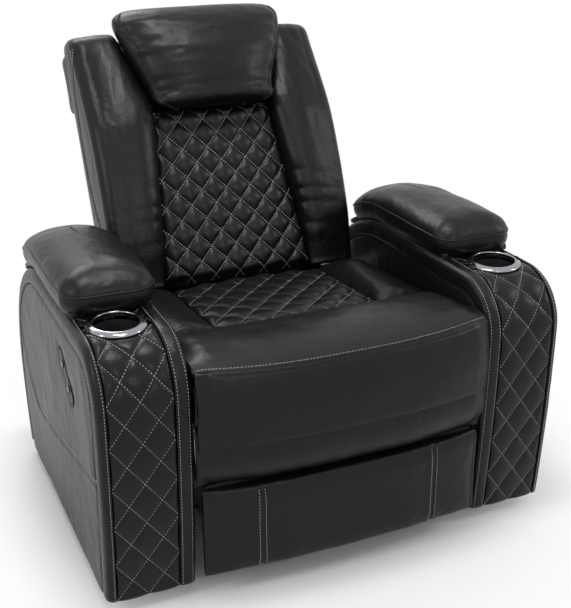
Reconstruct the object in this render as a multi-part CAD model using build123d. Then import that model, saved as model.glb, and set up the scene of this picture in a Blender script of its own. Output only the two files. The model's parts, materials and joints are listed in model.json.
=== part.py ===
from build123d import *
import math
import os

os.makedirs("parts", exist_ok=True)

# Overall frame: millimetres, +Z up, the chair faces -Y, x = 0 is the middle of the seat.
# Left in a name is the side at -X, on the left of somebody who looks at the chair's front.

frame_shift_y = 26.1

# Clearances
running_gap = 0.5
seam_gap = 0.3
soft_gap = 4.0
cut_over = 2.0
fold_gap = 8.0
pin_gap = 0.08

# Arm outline, seen from the side
arm_inner_x = 313.5
arm_width = 178.0
arm_bottom_z = 30.0
arm_top_z = 545.0
arm_front_y = -484.0
arm_corner_radius = 110.0
arm_front_radius = 3905.0
arm_shoulder_y = -16.0
arm_shoulder_radius = 300.0
arm_rear_radius = 722.0

# Arm covering and boards
arm_skin = 14.0
arm_border = 34.0
arm_inner_skin = 11.5
arm_board = 15.0
arm_outer_skin = 19.5
inner_band_width = 33.5
insert_width = 126.0
outer_edge_round = 17.0
inner_edge_round = 8.0

# Cup holder
ring_radius = 57.0
ring_bore_radius = 44.5
ring_thickness = 6.0
ring_y = -348.0
ring_stand = 2.5
well_radius = 44.0
well_wall = 2.0
well_depth = 78.0
ring_tilt_deg = 3.0

# Storage tray under the arm pad
tray_front_y = -232.0
tray_rear_y = 26.0
tray_rim = 10.0
tray_wall = 3.0
tray_depth = 118.0

# Arm pad on its lid board
lid_board = 10.0
lid_lift = 2.0
lid_front_y = -288.0
lid_length = 418.0
lid_side_inset = 10.0
pad_half_width = 94.0
pad_seam_height = 36.0
pad_crown_height = 82.0
pad_front_over = 14.0
pad_nose = 8.0
lid_pin_radius = 4.0
lid_barrel_radius = 7.0
lid_barrel_half = 20.0
lid_barrel_outer = 46.0
lid_leaf = 3.0
lid_leaf_length = 40.0
lid_hinge_back = 16.0

# Control panel and buttons on the left arm's outer side
control_y = -249.0
control_z = 414.0
control_length = 118.0
control_height = 30.0
control_slope_deg = 43.0
control_depth = 12.0
button_radius = 8.0
button_spacing = 53.0
button_height = 6.0
button_travel = 2.0
button_web = 2.0

# Power inlet at the rear of the chassis
inlet_width = 40.0
inlet_height = 28.0
inlet_depth = 34.0
inlet_bore_radius = 6.0

# Seat and its front roll
seat_half_width = 305.0
quilt_half_width = 182.0
seat_rear_y = 64.0
seat_rear_roll = 37.0
seat_rear_drop = 30.0
seat_front_y = -263.0
seat_rear_z = 440.0
seat_front_z = 464.0
seat_under_z = 386.0
seat_crown = 8.0
side_crown = 14.0
roll_top_z = 497.0
roll_crown_y = -385.0
roll_lip_y = -512.0
roll_lip_z = 479.0
roll_lip_height = 12.0
roll_lip_rise = 8.0
roll_bow = 30.0

# Leg rest hinge and its pads
knee_y = -454.0
knee_z = 415.0
knee_radius = 58.0
knee_hollow = 24.0
knee_neck_deg = 41.0
knee_draw = 14.0
leg_back = 16.0
leg_bulge_y = -530.0
leg_bulge_z = 333.0
leg_low_y = -512.0
leg_low_z = 268.0
leg_bottom_z = 244.0
leg_bow = 30.0
foot_top_z = 241.0
foot_bottom_z = 45.0
foot_front_y = -507.0
foot_bow = 24.0
foot_edge_round = 12.0
foot_travel = 80.0
leg_board = 12.0
leg_arm_width = 24.0
foot_margin = 6.0

# Steel plates and tubes
plate = 6.0
pin_radius = 6.0
eye_radius = 14.0
side_plate_x = 278.0
hinge_arm_x = 268.0
torque_radius = 10.0

# Leg rest drive
crank_radius = 60.0
crank_rear_deg = 42.0
crank_x = 60.0
yoke_gap = 2.4
yoke_length = 44.0
yoke_wall = 6.0
drive_rod_radius = 6.0
drive_rod_length = 210.0
drive_tube_radius = 16.0
drive_tube_length = 150.0
motor_length = 90.0
motor_width = 46.0

# Seat frame
rail_width = 20.0
rail_bottom_z = 336.0
rail_top_z = 378.0
frame_front_y = -388.0
frame_rear_y = 60.0
web_width = 50.0
web_thickness = 4.0
web_count = 5
slide_length = 300.0
slide_front_y = -250.0
slide_height = 22.0
slide_channel = 28.0
slide_wall = 2.0
seat_travel = 60.0

# Back, in its own directions: up its face and out of its face
back_y = 76.0
back_z = 450.0
back_rake_deg = 25.0
back_half_width = 300.0
back_face_depth = 95.0
back_quilt_top = 397.0
back_quilt_low_half = 180.0
back_quilt_top_half = 143.0
back_quilt_crown = 8.0
wing_crown = 56.0
wing_inset = 4.0
wing_top = 592.0
head_gap_half = 145.0
head_top_half = 208.0
back_board = 16.0
back_top = 574.0
rear_cover_depth = 28.0
rear_cover_low = -22.0
rear_upper_low = 440.0
rear_upper_depth = 32.0
rear_cover_round = 16.0
recline_up = -50.0
recline_out = -80.0

# Head pillow
head_low = 391.0
head_top = 630.0
head_low_half = 138.0
head_high_half = 212.0
head_board = 12.0
head_board_out = -86.0
head_pivot_up = 400.0
head_pivot_out = -12.0
head_arm_x = 84.0
head_front = 80.0
head_rear = -68.0

# Glide base
floor_pad = 6.0
floor_pad_radius = 18.0
base_tube = 30.0
base_half_width = 205.0
base_front_y = -230.0
base_rear_y = 230.0
swing_length = 128.0
swing_top_z = 190.0
swing_front_y = -150.0
swing_rear_y = 130.0
bracket_width = 60.0
bracket_top_width = 32.0
link_width = 26.0
beam_height = 26.0
beam_width = 30.0
beam_z = 86.0
beam_front_y = -250.0
beam_rear_y = 215.0
hanger_height = 30.0

# Quilting channels
groove_depth = 3.0
groove_width = 5.0
arm_diamond_width = 63.0
arm_diamond_height = 84.0
seat_diamond_width = 72.8
seat_diamond_height = 76.0
back_diamond_width = 60.0
back_diamond_height = 66.0


def block(x0, x1, y0, y1, z0, z1):
    """A box between two corners."""
    middle = Pos((x0 + x1) / 2, (y0 + y1) / 2, (z0 + z1) / 2)
    return middle * Box(x1 - x0, y1 - y0, z1 - z0)


def rod_x(x0, x1, y, z, radius):
    """A round rod along X."""
    return Pos((x0 + x1) / 2, y, z) * Rot(0, 90, 0) * Cylinder(radius, x1 - x0)


def rod_y(y0, y1, x, z, radius):
    """A round rod along Y."""
    return Pos(x, (y0 + y1) / 2, z) * Rot(90, 0, 0) * Cylinder(radius, y1 - y0)


def slab(face, x0, x1):
    """A side-view outline, given as (y, z), made solid from x0 to x1."""
    return extrude(Plane.YZ.offset(x0) * face, amount=x1 - x0)


def arc(centre, radius, start, end):
    """An arc about a centre, between two angles in degrees."""
    def at(angle):
        turn = math.radians(angle)
        return (centre[0] + radius * math.cos(turn), centre[1] + radius * math.sin(turn))
    return ThreePointArc(at(start), at((start + end) / 2), at(end))


def outline(points):
    """A closed straight-sided outline."""
    return make_face(Polyline(*points, close=True))


def mirrored(shape):
    """The same shape on the other side of the chair."""
    return mirror(shape, about=Plane.YZ)


def save(name, shape):
    """Writes one node, in the frame whose origin is under the middle of the whole chair."""
    solids = [Pos(0, frame_shift_y, 0) * solid for solid in shape.solids()]
    export_step(Compound(solids), "parts/" + name + ".step")


def save_pair(name, shape):
    """Writes a node for the right side and its mirror image for the left."""
    save(name + "_right", shape)
    save(name + "_left", mirrored(shape))


# Arm outline
arm_outer_x = arm_inner_x + arm_width
corner_z = arm_top_z - arm_corner_radius
corner_y = arm_front_y + arm_corner_radius
shoulder_z = arm_top_z - arm_shoulder_radius
arm_rear_y = arm_shoulder_y + arm_shoulder_radius


def arm_profile(inset):
    """The arm's side outline, drawn in by an inset on all but its flat bottom."""
    front_y = arm_front_y + arm_front_radius
    front_r = arm_front_radius - inset
    front_drop = corner_z - arm_bottom_z
    front_deg = 180 + math.degrees(math.asin(front_drop / front_r))
    rear_y = arm_rear_y - arm_rear_radius
    rear_r = arm_rear_radius - inset
    rear_deg = -math.degrees(math.asin((shoulder_z - arm_bottom_z) / rear_r))
    front = arc((front_y, corner_z), front_r, front_deg, 180)
    corner = arc((corner_y, corner_z), arm_corner_radius - inset, 180, 90)
    top = Line(corner @ 1, (arm_shoulder_y, arm_top_z - inset))
    shoulder = arc((arm_shoulder_y, shoulder_z), arm_shoulder_radius - inset, 90, 0)
    rear = arc((rear_y, shoulder_z), rear_r, 0, rear_deg)
    under = Line(rear @ 1, front @ 0)
    return make_face([front, corner, top, shoulder, rear, under])


def arm_ring(outer, inner, x0, x1):
    """A strip that follows the arm's outline between two insets."""
    return slab(arm_profile(outer) - arm_profile(inner), x0, x1)


def arm_point(path, lift):
    """A point on the arm's front and top, by its path length up from the bottom, with its normal."""
    front_run = corner_z - arm_bottom_z
    bend = arm_corner_radius * math.pi / 2
    if path < front_run:
        z = arm_bottom_z + path
        sag = (corner_z - z) ** 2 / (2 * arm_front_radius)
        return (arm_front_y + sag - lift, z), (-1, 0)
    if path < front_run + bend:
        turn = (path - front_run) / arm_corner_radius
        out = (-math.cos(turn), math.sin(turn))
        r = arm_corner_radius + lift
        return (corner_y + r * out[0], corner_z + r * out[1]), out
    return (corner_y + path - front_run - bend, arm_top_z + lift), (0, 1)


def top_point(y, lift):
    """A point above the arm's top and rear shoulder, by its distance along the top, with its turn."""
    if y <= arm_shoulder_y:
        return (y, arm_top_z + lift), 0
    turn = (y - arm_shoulder_y) / arm_shoulder_radius
    r = arm_shoulder_radius + lift
    return (arm_shoulder_y + r * math.sin(turn), shoulder_z + r * math.cos(turn)), turn


def channel(start, end, normal):
    """One stretch of a sewn channel: a three-sided bar that is cut from a cushion's face."""
    a, b, n = Vector(*start), Vector(*end), Vector(*normal).normalized()
    along = (b - a).normalized()
    across = n.cross(along)
    rise = groove_depth
    half = groove_width * (groove_depth + rise) / (2 * groove_depth)
    over = along * (groove_width / 4)
    low = a - over - n * groove_depth
    left = a - over + n * rise + across * half
    right = a - over + n * rise - across * half
    face = Face(Wire([Edge.make_line(low, left), Edge.make_line(left, right), Edge.make_line(right, low)]))
    return extrude(face, amount=(b - a).length + groove_width / 2, dir=along)


def clipped(ends, end, low, high):
    """An end of a sloping seam, moved along the seam to the nearest place between low and high."""
    (x0, s0), (x1, s1) = ends
    along = min(max(end[1], low), high)
    if along == end[1]:
        return end
    part = (along - s0) / (s1 - s0)
    return (x0 + (x1 - x0) * part, along)


def diamond_lines(half_width, low, high, wide, tall, start=0, centre=0):
    """The sloping seams of a diamond quilt between low and high, as end pairs of (across, along)."""
    lines = []
    reach = 2 * half_width * tall / wide
    count = math.ceil((high - start + 2 * reach) / tall)
    for slope in (1, -1):
        for index in range(-count, count + 1):
            base = start + index * tall
            ends = []
            for across in (-half_width, half_width):
                ends.append((across, base + slope * (across - centre) * tall / wide))
            (x0, s0), (x1, s1) = ends
            lo, hi = min(s0, s1), max(s0, s1)
            if hi <= low or lo >= high:
                continue
            first = clipped(ends, ends[0], low, high)
            last = clipped(ends, ends[1], low, high)
            if math.dist(first, last) > wide / 8:
                lines.append((first, last))
    return lines


def channels(lines, surface, step):
    """Channel bars along quilt seams on a curved face; surface gives a point and its normal."""
    bars = []
    for first, last in lines:
        pieces = max(1, math.ceil(math.dist(first, last) / step))
        places = []
        for index in range(pieces + 1):
            part = index / pieces
            places.append((first[0] + (last[0] - first[0]) * part, first[1] + (last[1] - first[1]) * part))
        for here, there in zip(places, places[1:]):
            start, normal = surface(*here)
            end, normal_end = surface(*there)
            mean = [n + m for n, m in zip(normal, normal_end)]
            bars.append(channel(start, end, mean))
    return bars


def cut_channels(body, bars):
    """The cushion with its channels, cut one after another because they cross."""
    for bar in bars:
        body = body - bar
    return body


# Places across one arm, for the right side
board_inner_x = arm_inner_x + arm_inner_skin
insert_x0 = arm_inner_x + inner_band_width
insert_x1 = insert_x0 + insert_width
outer_board_x1 = arm_outer_x - arm_outer_skin
cup_x = (insert_x0 + insert_x1) / 2
well_tool = Pos(cup_x, ring_y, arm_top_z) * Cylinder(well_radius + running_gap, well_depth * 3)

# Arm frame: two side boards, and a board round the front and top between them
inner_boards = slab(arm_profile(arm_skin), board_inner_x, board_inner_x + arm_board)
outer_boards = slab(arm_profile(arm_skin), outer_board_x1 - arm_board, outer_board_x1)
front_board = arm_ring(arm_skin, arm_skin + arm_board, board_inner_x + arm_board, outer_board_x1 - arm_board)
tray_x0 = insert_x0 + tray_rim
tray_x1 = insert_x1 - tray_rim
tray_y0 = tray_front_y + tray_rim
tray_y1 = tray_rear_y - tray_rim
tray_tool = block(tray_x0 - running_gap, tray_x1 + running_gap, tray_y0 - running_gap, tray_y1 + running_gap,
                  arm_top_z - tray_depth * 2, arm_top_z)
arm_frame = inner_boards + outer_boards + front_board - well_tool - tray_tool
save_pair("arm_frame", arm_frame)

# Side panels
outer_panel = slab(arm_profile(arm_border + seam_gap), outer_board_x1, arm_outer_x)
inner_panel = slab(arm_profile(arm_border + seam_gap), arm_inner_x, board_inner_x)
save("arm_outer_panel_right", outer_panel)
save_pair("arm_inner_panel", inner_panel)

# Control panel pocket, on the left arm
control_place = Pos(-arm_outer_x, control_y, control_z) * Rot(control_slope_deg, 0, 0)


def pill(length, height, depth):
    """A round-ended bar that is sunk into the left arm's outer side."""
    flat = SlotOverall(length, height)
    return control_place * extrude(Plane.YZ * flat, amount=depth)


panel_left = mirrored(outer_panel) - pill(control_length + 2 * running_gap, control_height + 2 * running_gap,
                                          control_depth)
save("arm_outer_panel_left", panel_left)
bezel = pill(control_length, control_height, control_depth)
bezel_cut = []
for side in (-1, 1):
    spot = control_place * Pos(0, side * button_spacing / 2, 0) * Rot(0, 90, 0)
    bezel_cut.append(spot * Cylinder(button_radius + running_gap, (control_depth - button_web) * 2))
bezel = bezel - bezel_cut
save("control_panel", bezel)
for label, side in (("upper", 1), ("lower", -1)):
    spot = control_place * Pos(button_height / 2 - button_travel, side * button_spacing / 2, 0)
    button = spot * Rot(0, 90, 0) * Cylinder(button_radius, button_height)
    save("control_button_" + label, button)

# Border bands, with the outer one rounded over to the side panel
band_b = arm_ring(0, arm_border, insert_x1 + seam_gap, arm_outer_x)


def round_rim(ring, x, radius):
    """Rounds the outline's edges of a band at one side."""
    rim = []
    length_limit = arm_border / 2
    for edge in ring.edges():
        box = edge.bounding_box()
        if box.size.X > seam_gap or abs(box.center().X - x) > seam_gap or edge.length < length_limit * 2:
            continue
        mid = edge @ 0.5
        if abs(mid.Z - arm_bottom_z) < seam_gap:
            continue
        if depth_in_profile(mid.Y, mid.Z) < arm_border / 2:
            rim.append(edge)
    return fillet(rim, radius)


def depth_in_profile(y, z):
    """How far a point lies inside the arm's outline."""
    if y > arm_shoulder_y and z > shoulder_z:
        return arm_shoulder_radius - math.dist((y, z), (arm_shoulder_y, shoulder_z))
    if y > arm_shoulder_y:
        return arm_rear_radius - math.dist((y, z), (arm_rear_y - arm_rear_radius, shoulder_z))
    if z > corner_z and y < corner_y:
        return arm_corner_radius - math.dist((y, z), (corner_y, corner_z))
    if z > corner_z:
        return arm_top_z - z
    return arm_front_radius - math.dist((y, z), (arm_front_y + arm_front_radius, corner_z))


band_b = round_rim(band_b, arm_outer_x, outer_edge_round)
save_pair("arm_outer_band", band_b)
inner_a = arm_ring(0, arm_skin, board_inner_x, insert_x0 - seam_gap)
inner_b = round_rim(arm_ring(0, arm_border, arm_inner_x, board_inner_x), arm_inner_x, inner_edge_round)
save_pair("arm_inner_band", inner_a + inner_b)

# Quilted insert on the front and top, with the cup holder's seat, and the plain cover at the rear
front_zone = block(insert_x0, insert_x1, arm_front_y * 2, tray_front_y - seam_gap, 0, arm_top_z * 2)
rear_zone = block(insert_x0, insert_x1, tray_rear_y + seam_gap, arm_rear_y * 2, 0, arm_top_z * 2)
ring_place = Pos(cup_x, ring_y, arm_top_z + ring_stand) * Rot(ring_tilt_deg, 0, 0)
ring_tool = ring_place * Pos(0, 0, ring_thickness) * Cylinder(ring_radius + running_gap, ring_thickness * 4)
insert = arm_ring(0, arm_skin, insert_x0, insert_x1) & front_zone
insert = insert - well_tool - ring_tool
front_path = corner_z - arm_bottom_z
top_path = front_path + arm_corner_radius * math.pi / 2
insert_path_end = top_path + tray_front_y - corner_y


def insert_surface(across, path):
    """A point on the insert's face, with its normal."""
    (y, z), out = arm_point(path, 0)
    return (cup_x + across, y, z), (0, out[0], out[1])


for low, high, step in ((0, front_path, front_path), (front_path, top_path, arm_diamond_width / 3),
                        (top_path, insert_path_end, front_path)):
    arm_lines = diamond_lines(insert_width / 2, low, high, arm_diamond_width, arm_diamond_height)
    insert = cut_channels(insert, channels(arm_lines, insert_surface, step))
save_pair("arm_insert", insert)
rear_cover = arm_ring(0, arm_skin, insert_x0, insert_x1) & rear_zone
save_pair("arm_rear_cover", rear_cover)

# Cup holder: a chrome ring with a lip, and the dark well under it
ring = Cylinder(ring_radius, ring_thickness) - Cylinder(ring_bore_radius - well_wall, ring_thickness * 2)
ring = chamfer(ring.edges().group_by(Axis.Z)[-1], ring_thickness / 4)
save_pair("cup_ring", ring_place * ring)
well_top = arm_top_z - ring_thickness
well = Pos(cup_x, ring_y, well_top - well_depth / 2) * Cylinder(well_radius, well_depth)
well_inside = Pos(cup_x, ring_y, well_top + well_wall) * Cylinder(well_radius - well_wall, well_depth * 2)
well = well - well_inside
save_pair("cup_well", well)

# Storage tray: a rim that closes the top between the bands, and the box in the arm
rim = block(insert_x0 + seam_gap, insert_x1 - seam_gap, tray_front_y, tray_rear_y,
            arm_top_z - arm_skin, arm_top_z)
tray_box = block(tray_x0, tray_x1, tray_y0, tray_y1, arm_top_z - tray_depth, arm_top_z)
tray_void = block(tray_x0 + tray_wall, tray_x1 - tray_wall, tray_y0 + tray_wall, tray_y1 - tray_wall,
                  arm_top_z - tray_depth + tray_wall, arm_top_z + cut_over)
tray_rim_solid = rim & slab(arm_profile(0), insert_x0, insert_x1)
tray = tray_rim_solid + tray_box - tray_void
save_pair("storage_tray", tray)

# Arm pad, its lid board and its hinge
lid_x0 = arm_inner_x + lid_side_inset
lid_x1 = arm_outer_x - lid_side_inset
pad_x = (arm_inner_x + arm_outer_x) / 2
lid_rear = lid_front_y + lid_length
hinge_y = lid_rear + lid_hinge_back
(pin_y, pin_z), pin_turn = top_point(hinge_y, lid_lift + lid_barrel_radius)
(end_y, end_z), end_turn = top_point(lid_rear, 0)
lid = arm_ring(-lid_lift - lid_board, -lid_lift, lid_x0, lid_x1)
far = arm_rear_y * 3
end_cut = outline([(arm_shoulder_y + far * math.sin(end_turn), shoulder_z + far * math.cos(end_turn)),
                   (arm_shoulder_y, shoulder_z),
                   (arm_shoulder_y, -far),
                   (far, -far),
                   (far, far * math.cos(end_turn))])
lid = lid - slab(end_cut, lid_x0 - cut_over, lid_x1 + cut_over)
lid = lid - block(lid_x0 - cut_over, lid_x1 + cut_over, -far, lid_front_y, 0, far)
leaf_place = Pos(0, pin_y, pin_z) * Rot(-math.degrees(pin_turn), 0, 0)
moving_barrel = rod_x(-lid_barrel_half, lid_barrel_half, 0, 0, lid_barrel_radius)
moving_leaf = block(-lid_barrel_half, lid_barrel_half, -lid_hinge_back, 0, -lid_leaf / 2, lid_leaf / 2)
bore = rod_x(-lid_barrel_outer, lid_barrel_outer, 0, 0, lid_pin_radius + pin_gap)
moving = Pos(pad_x, 0, 0) * leaf_place * (moving_barrel + moving_leaf - bore)
save_pair("arm_lid", lid + moving)
fixed = []
for side in (-1, 1):
    x0, x1 = sorted((side * (lid_barrel_half + running_gap), side * lid_barrel_outer))
    fixed.append(rod_x(x0, x1, 0, 0, lid_barrel_radius))
    fixed.append(block(x0, x1, 0, lid_leaf_length, -lid_barrel_radius, -lid_barrel_radius + lid_leaf))
knuckles = fixed[0] + fixed[1] + fixed[2] + fixed[3]
lid_pin = rod_x(-lid_barrel_outer, lid_barrel_outer, 0, 0, lid_pin_radius)
hinge = Pos(pad_x, 0, 0) * leaf_place * (knuckles + lid_pin)
hinge = hinge - slab(arm_profile(0), arm_inner_x, arm_outer_x)
save_pair("lid_hinge", hinge)

pad_place_share = [0, 0.03, 0.16, 0.42, 0.72, 0.9, 0.975, 1]
pad_width_share = [0.86, 0.95, 1, 1, 0.99, 0.96, 0.92, 0.84]
pad_seam_share = [0.75, 0.95, 1, 1, 1, 0.95, 0.9, 0.7]
pad_crown_share = [0.42, 0.72, 0.97, 1, 0.95, 0.84, 0.66, 0.4]
pad_sections = []
pad_start = lid_front_y - pad_front_over
pad_length = lid_length + pad_front_over - pad_nose
for place, wide, seam, crown in zip(pad_place_share, pad_width_share, pad_seam_share, pad_crown_share):
    along = pad_start + place * pad_length
    (py, pz), turn = top_point(along, lid_lift + lid_board + seam_gap)
    plane = Plane(origin=(pad_x, py, pz), x_dir=(1, 0, 0),
                  z_dir=(0, math.cos(turn), -math.sin(turn)))
    half = pad_half_width * wide
    base = half - pad_nose
    seam_h = pad_seam_height * seam
    top_h = pad_crown_height * crown
    low = Line((-base, 0), (base, 0))
    bulge_h = seam_h / 2
    right = ThreePointArc((base, 0), (half - pad_nose / 4, bulge_h), (half, seam_h))
    over = ThreePointArc((half, seam_h), (0, top_h), (-half, seam_h))
    left = ThreePointArc((-half, seam_h), (-half + pad_nose / 4, bulge_h), (-base, 0))
    face = make_face([low, right, over, left])
    pad_sections.append(Plane(origin=plane.origin, x_dir=(-1, 0, 0),
                              z_dir=(0, math.cos(turn), -math.sin(turn))) * face)
save_pair("arm_pad", loft(pad_sections))


# Seat cushions
def seat_line(y):
    """The seat's face height, on the straight line between its front and its rear."""
    part = (y - seat_front_y) / (seat_rear_y - seat_front_y)
    return seat_front_z + (seat_rear_z - seat_front_z) * part


def cushion_sections(x0, x1, crown, places):
    """Cross sections of a flat-bottomed, crowned seat cushion, front to rear."""
    sections = []
    for y, drawn, drop in places:
        top = seat_line(y) - drop
        low, high = x0 + drawn, x1 - drawn
        under = Line((low, seat_under_z), (high, seat_under_z))
        side_b = Line((high, seat_under_z), (high, top))
        over = ThreePointArc((high, top), ((low + high) / 2, top + crown), (low, top))
        side_a = Line((low, top), (low, seat_under_z))
        face = make_face([under, side_b, over, side_a])
        sections.append(Plane(origin=(0, y, 0), x_dir=(1, 0, 0), z_dir=(0, -1, 0)) * face)
    return sections


seat_face_end = seat_rear_y - seat_rear_roll
seat_places = [(seat_front_y + seam_gap, 2 * seam_gap, 4 * seam_gap), (seat_front_y + fold_gap * 2, 0, 0),
               (seat_face_end, 0, 0), (seat_rear_y - seat_rear_roll / 3, seam_gap, seat_rear_drop / 3),
               (seat_rear_y, fold_gap / 2, seat_rear_drop)]
quilt = loft(cushion_sections(-quilt_half_width, quilt_half_width, seat_crown, seat_places), ruled=True)


def seat_surface(across, along):
    """A point on the quilted seat's face, with its normal."""
    rise = seat_crown * (1 - (across / quilt_half_width) ** 2)
    lean = (seat_rear_z - seat_front_z) / (seat_rear_y - seat_front_y)
    tip = 2 * seat_crown * across / quilt_half_width ** 2
    return (across, along, seat_line(along) + rise), (tip, -lean, 1)


seat_lines = diamond_lines(quilt_half_width + groove_width, seat_front_y + fold_gap, seat_face_end,
                           seat_diamond_width, seat_diamond_height, (seat_front_y + seat_face_end) / 2)
quilt = cut_channels(quilt, channels(seat_lines, seat_surface, seat_diamond_width))
save("seat_quilt", quilt)
gusset_inner_x = quilt_half_width + seam_gap
gusset = loft(cushion_sections(gusset_inner_x, seat_half_width, side_crown, seat_places), ruled=True)
save_pair("seat_gusset", gusset)

# Shares across the seat's front: how far each place is drawn back, from the middle to both ends
bow_place_share = [-1, -0.82, -0.45, 0, 0.45, 0.82, 1]
bow_depth_share = [1, 0.58, 0.13, 0, 0.13, 0.58, 1]


# Seat front roll: its crown, its lip over the leg rest, and the hollow that the leg rest turns in
def roll_section(x, depth):
    """The roll's side section at x, with its lip drawn back and raised towards the ends."""
    lip_y = roll_lip_y + roll_bow * depth
    lip_z = roll_lip_z + roll_lip_rise * depth
    hollow = knee_radius + soft_gap
    lip_top = (lip_y, lip_z)
    lip_low = (lip_y + soft_gap, lip_z - roll_lip_height)
    lip_deg = 180 - math.degrees(math.asin((lip_low[1] - knee_z) / (hollow + fold_gap)))
    turned = arc((knee_y, knee_z), hollow, lip_deg, 0)
    rear_low = (seat_front_y, seat_under_z)
    rear_top = (seat_front_y, seat_front_z - soft_gap)
    crown = (roll_crown_y, roll_top_z)
    rise = ((seat_front_y + roll_crown_y) / 2, (seat_front_z + roll_top_z) / 2 + soft_gap)
    fall = ((roll_crown_y + lip_y) / 2 - fold_gap, roll_top_z - soft_gap)
    edges = [Line(lip_low, turned @ 0), turned, Line(turned @ 1, (knee_y + hollow, seat_under_z)),
             Line((knee_y + hollow, seat_under_z), rear_low), Line(rear_low, rear_top),
             ThreePointArc(rear_top, rise, crown),
             ThreePointArc(crown, fall, lip_top),
             ThreePointArc(lip_top, (lip_y - soft_gap, lip_z - roll_lip_height / 2), lip_low)]
    return Plane.YZ.offset(x) * make_face(edges)


roll = loft([roll_section(seat_half_width * place, depth)
             for place, depth in zip(bow_place_share, bow_depth_share)], ruled=True)
save("seat_front_roll", roll)


# Leg rest front pad: rounded about its hinge at the top, bulging below, bowed forward in the middle
def leg_section(x, depth):
    """The front pad's side section at x, drawn back by a share of its bow."""
    radius = knee_radius - knee_draw * depth
    top_end = arc((knee_y, knee_z), radius, 180 + knee_neck_deg, 110)
    inner = arc((knee_y, knee_z), knee_hollow, 110, 222)
    rear_y = knee_y - leg_back
    low_y = leg_low_y + leg_bow * depth
    bulge_y = leg_bulge_y + leg_bow * depth
    under_y = (rear_y + low_y) / 2
    turn_in = (low_y + soft_gap / 2, (leg_bottom_z + leg_low_z) / 2 - soft_gap)
    edges = [ThreePointArc((low_y, leg_low_z), (bulge_y, leg_bulge_z - fold_gap), top_end @ 0), top_end,
             Line(top_end @ 1, inner @ 0), inner, Line(inner @ 1, (rear_y, (inner @ 1).Y - fold_gap)),
             Line((rear_y, (inner @ 1).Y - fold_gap), (rear_y, leg_bottom_z)),
             Line((rear_y, leg_bottom_z), (under_y, leg_bottom_z)),
             ThreePointArc((under_y, leg_bottom_z), turn_in, (low_y, leg_low_z))]
    return Plane.YZ.offset(x) * make_face(edges)


leg_half_width = seat_half_width - seam_gap * 4
leg_pad = loft([leg_section(leg_half_width * place, depth)
                for place, depth in zip(bow_place_share, bow_depth_share)], ruled=True)
save("leg_pad", leg_pad)


# Lower panel of the leg rest, slightly bowed
def foot_section(x, bow):
    """The lower panel's side section at x."""
    rear_y = knee_y - leg_back
    front = foot_front_y + bow
    low, high = foot_bottom_z, foot_top_z
    r = foot_edge_round
    edges = [Line((rear_y, low), (rear_y, high)), Line((rear_y, high), (front + r, high)),
             ThreePointArc((front + r, high), (front + r / 4, high - r / 4), (front, high - r)),
             Line((front, high - r), (front, low + r)),
             ThreePointArc((front, low + r), (front + r / 4, low + r / 4), (front + r, low)),
             Line((front + r, low), (rear_y, low))]
    return Plane.YZ.offset(x) * make_face(edges)


foot_pad = loft([foot_section(leg_half_width * place, foot_bow * depth)
                 for place, depth in zip(bow_place_share, bow_depth_share)], ruled=True)
save("foot_pad", foot_pad)

# Leg frame: board behind the front pad, hinge arms, torque tube and crank
board_front_y = knee_y - leg_back + running_gap
board_rear_y = board_front_y + leg_board
board_half = leg_half_width - foot_margin * 2
leg_panel = block(-board_half, board_half, board_front_y, board_rear_y, leg_bottom_z + running_gap,
                  knee_z - knee_hollow - foot_margin)
leg_frame = leg_panel
for side in (-1, 1):
    x0, x1 = sorted((side * hinge_arm_x, side * (hinge_arm_x + plate)))
    arm = block(x0, x1, board_rear_y, board_rear_y + leg_arm_width, leg_bottom_z + foot_margin, knee_z)
    arm = arm + rod_x(x0, x1, knee_y, knee_z, eye_radius)
    leg_frame = leg_frame + arm
    c0, c1 = sorted((side * crank_x, side * (crank_x + plate)))
    crank_turn = math.radians(crank_rear_deg)
    crank_y = knee_y + crank_radius * math.sin(crank_turn)
    crank_z = knee_z - crank_radius * math.cos(crank_turn)
    crank = rod_x(c0, c1, knee_y, knee_z, eye_radius)
    crank = crank + rod_x(c0, c1, crank_y, crank_z, eye_radius - pin_radius / 2)
    cross_y, cross_z = math.cos(crank_turn), math.sin(crank_turn)
    w = eye_radius - pin_radius / 2
    web = outline([(knee_y - w * cross_y, knee_z - w * cross_z),
                   (knee_y + w * cross_y, knee_z + w * cross_z),
                   (crank_y + w * cross_y, crank_z + w * cross_z),
                   (crank_y - w * cross_y, crank_z - w * cross_z)])
    leg_frame = leg_frame + crank + slab(web, c0, c1)
torque = rod_x(-hinge_arm_x - plate, hinge_arm_x + plate, knee_y, knee_z, torque_radius)
crank_pin = rod_x(-crank_x, crank_x, crank_y, crank_z, pin_radius)
guide_place_share = 0.62
guide_wall_share = 1.2
guide_rail_share = 0.7
guide_reach_share = 1.8
guide_x = board_half * guide_place_share
guide_half = foot_margin * 3
guide_wall_y = board_rear_y + leg_board * guide_wall_share
guide_rail_y = board_rear_y + leg_board * guide_rail_share
guide_rail_top = leg_bottom_z + foot_travel * guide_reach_share
for side in (-1, 1):
    middle = side * guide_x
    channel_body = block(middle - guide_half, middle + guide_half, board_rear_y, guide_wall_y,
                         leg_bottom_z + foot_margin, leg_bottom_z + foot_travel)
    leg_frame = leg_frame + channel_body
foot_rail_gap = running_gap
leg_frame = leg_frame + torque + crank_pin
rail_half = foot_margin * 1.5
for side in (-1, 1):
    middle = side * guide_x
    slot = block(middle - rail_half - foot_rail_gap, middle + rail_half + foot_rail_gap,
                 board_rear_y + foot_rail_gap, guide_rail_y + foot_rail_gap,
                 0, leg_bottom_z + foot_travel + cut_over)
    leg_frame = leg_frame - slot
knee_bore = rod_x(-arm_inner_x, arm_inner_x, knee_y, knee_z, pin_radius + pin_gap)
leg_frame = leg_frame - knee_bore
save("leg_frame", leg_frame)

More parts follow.
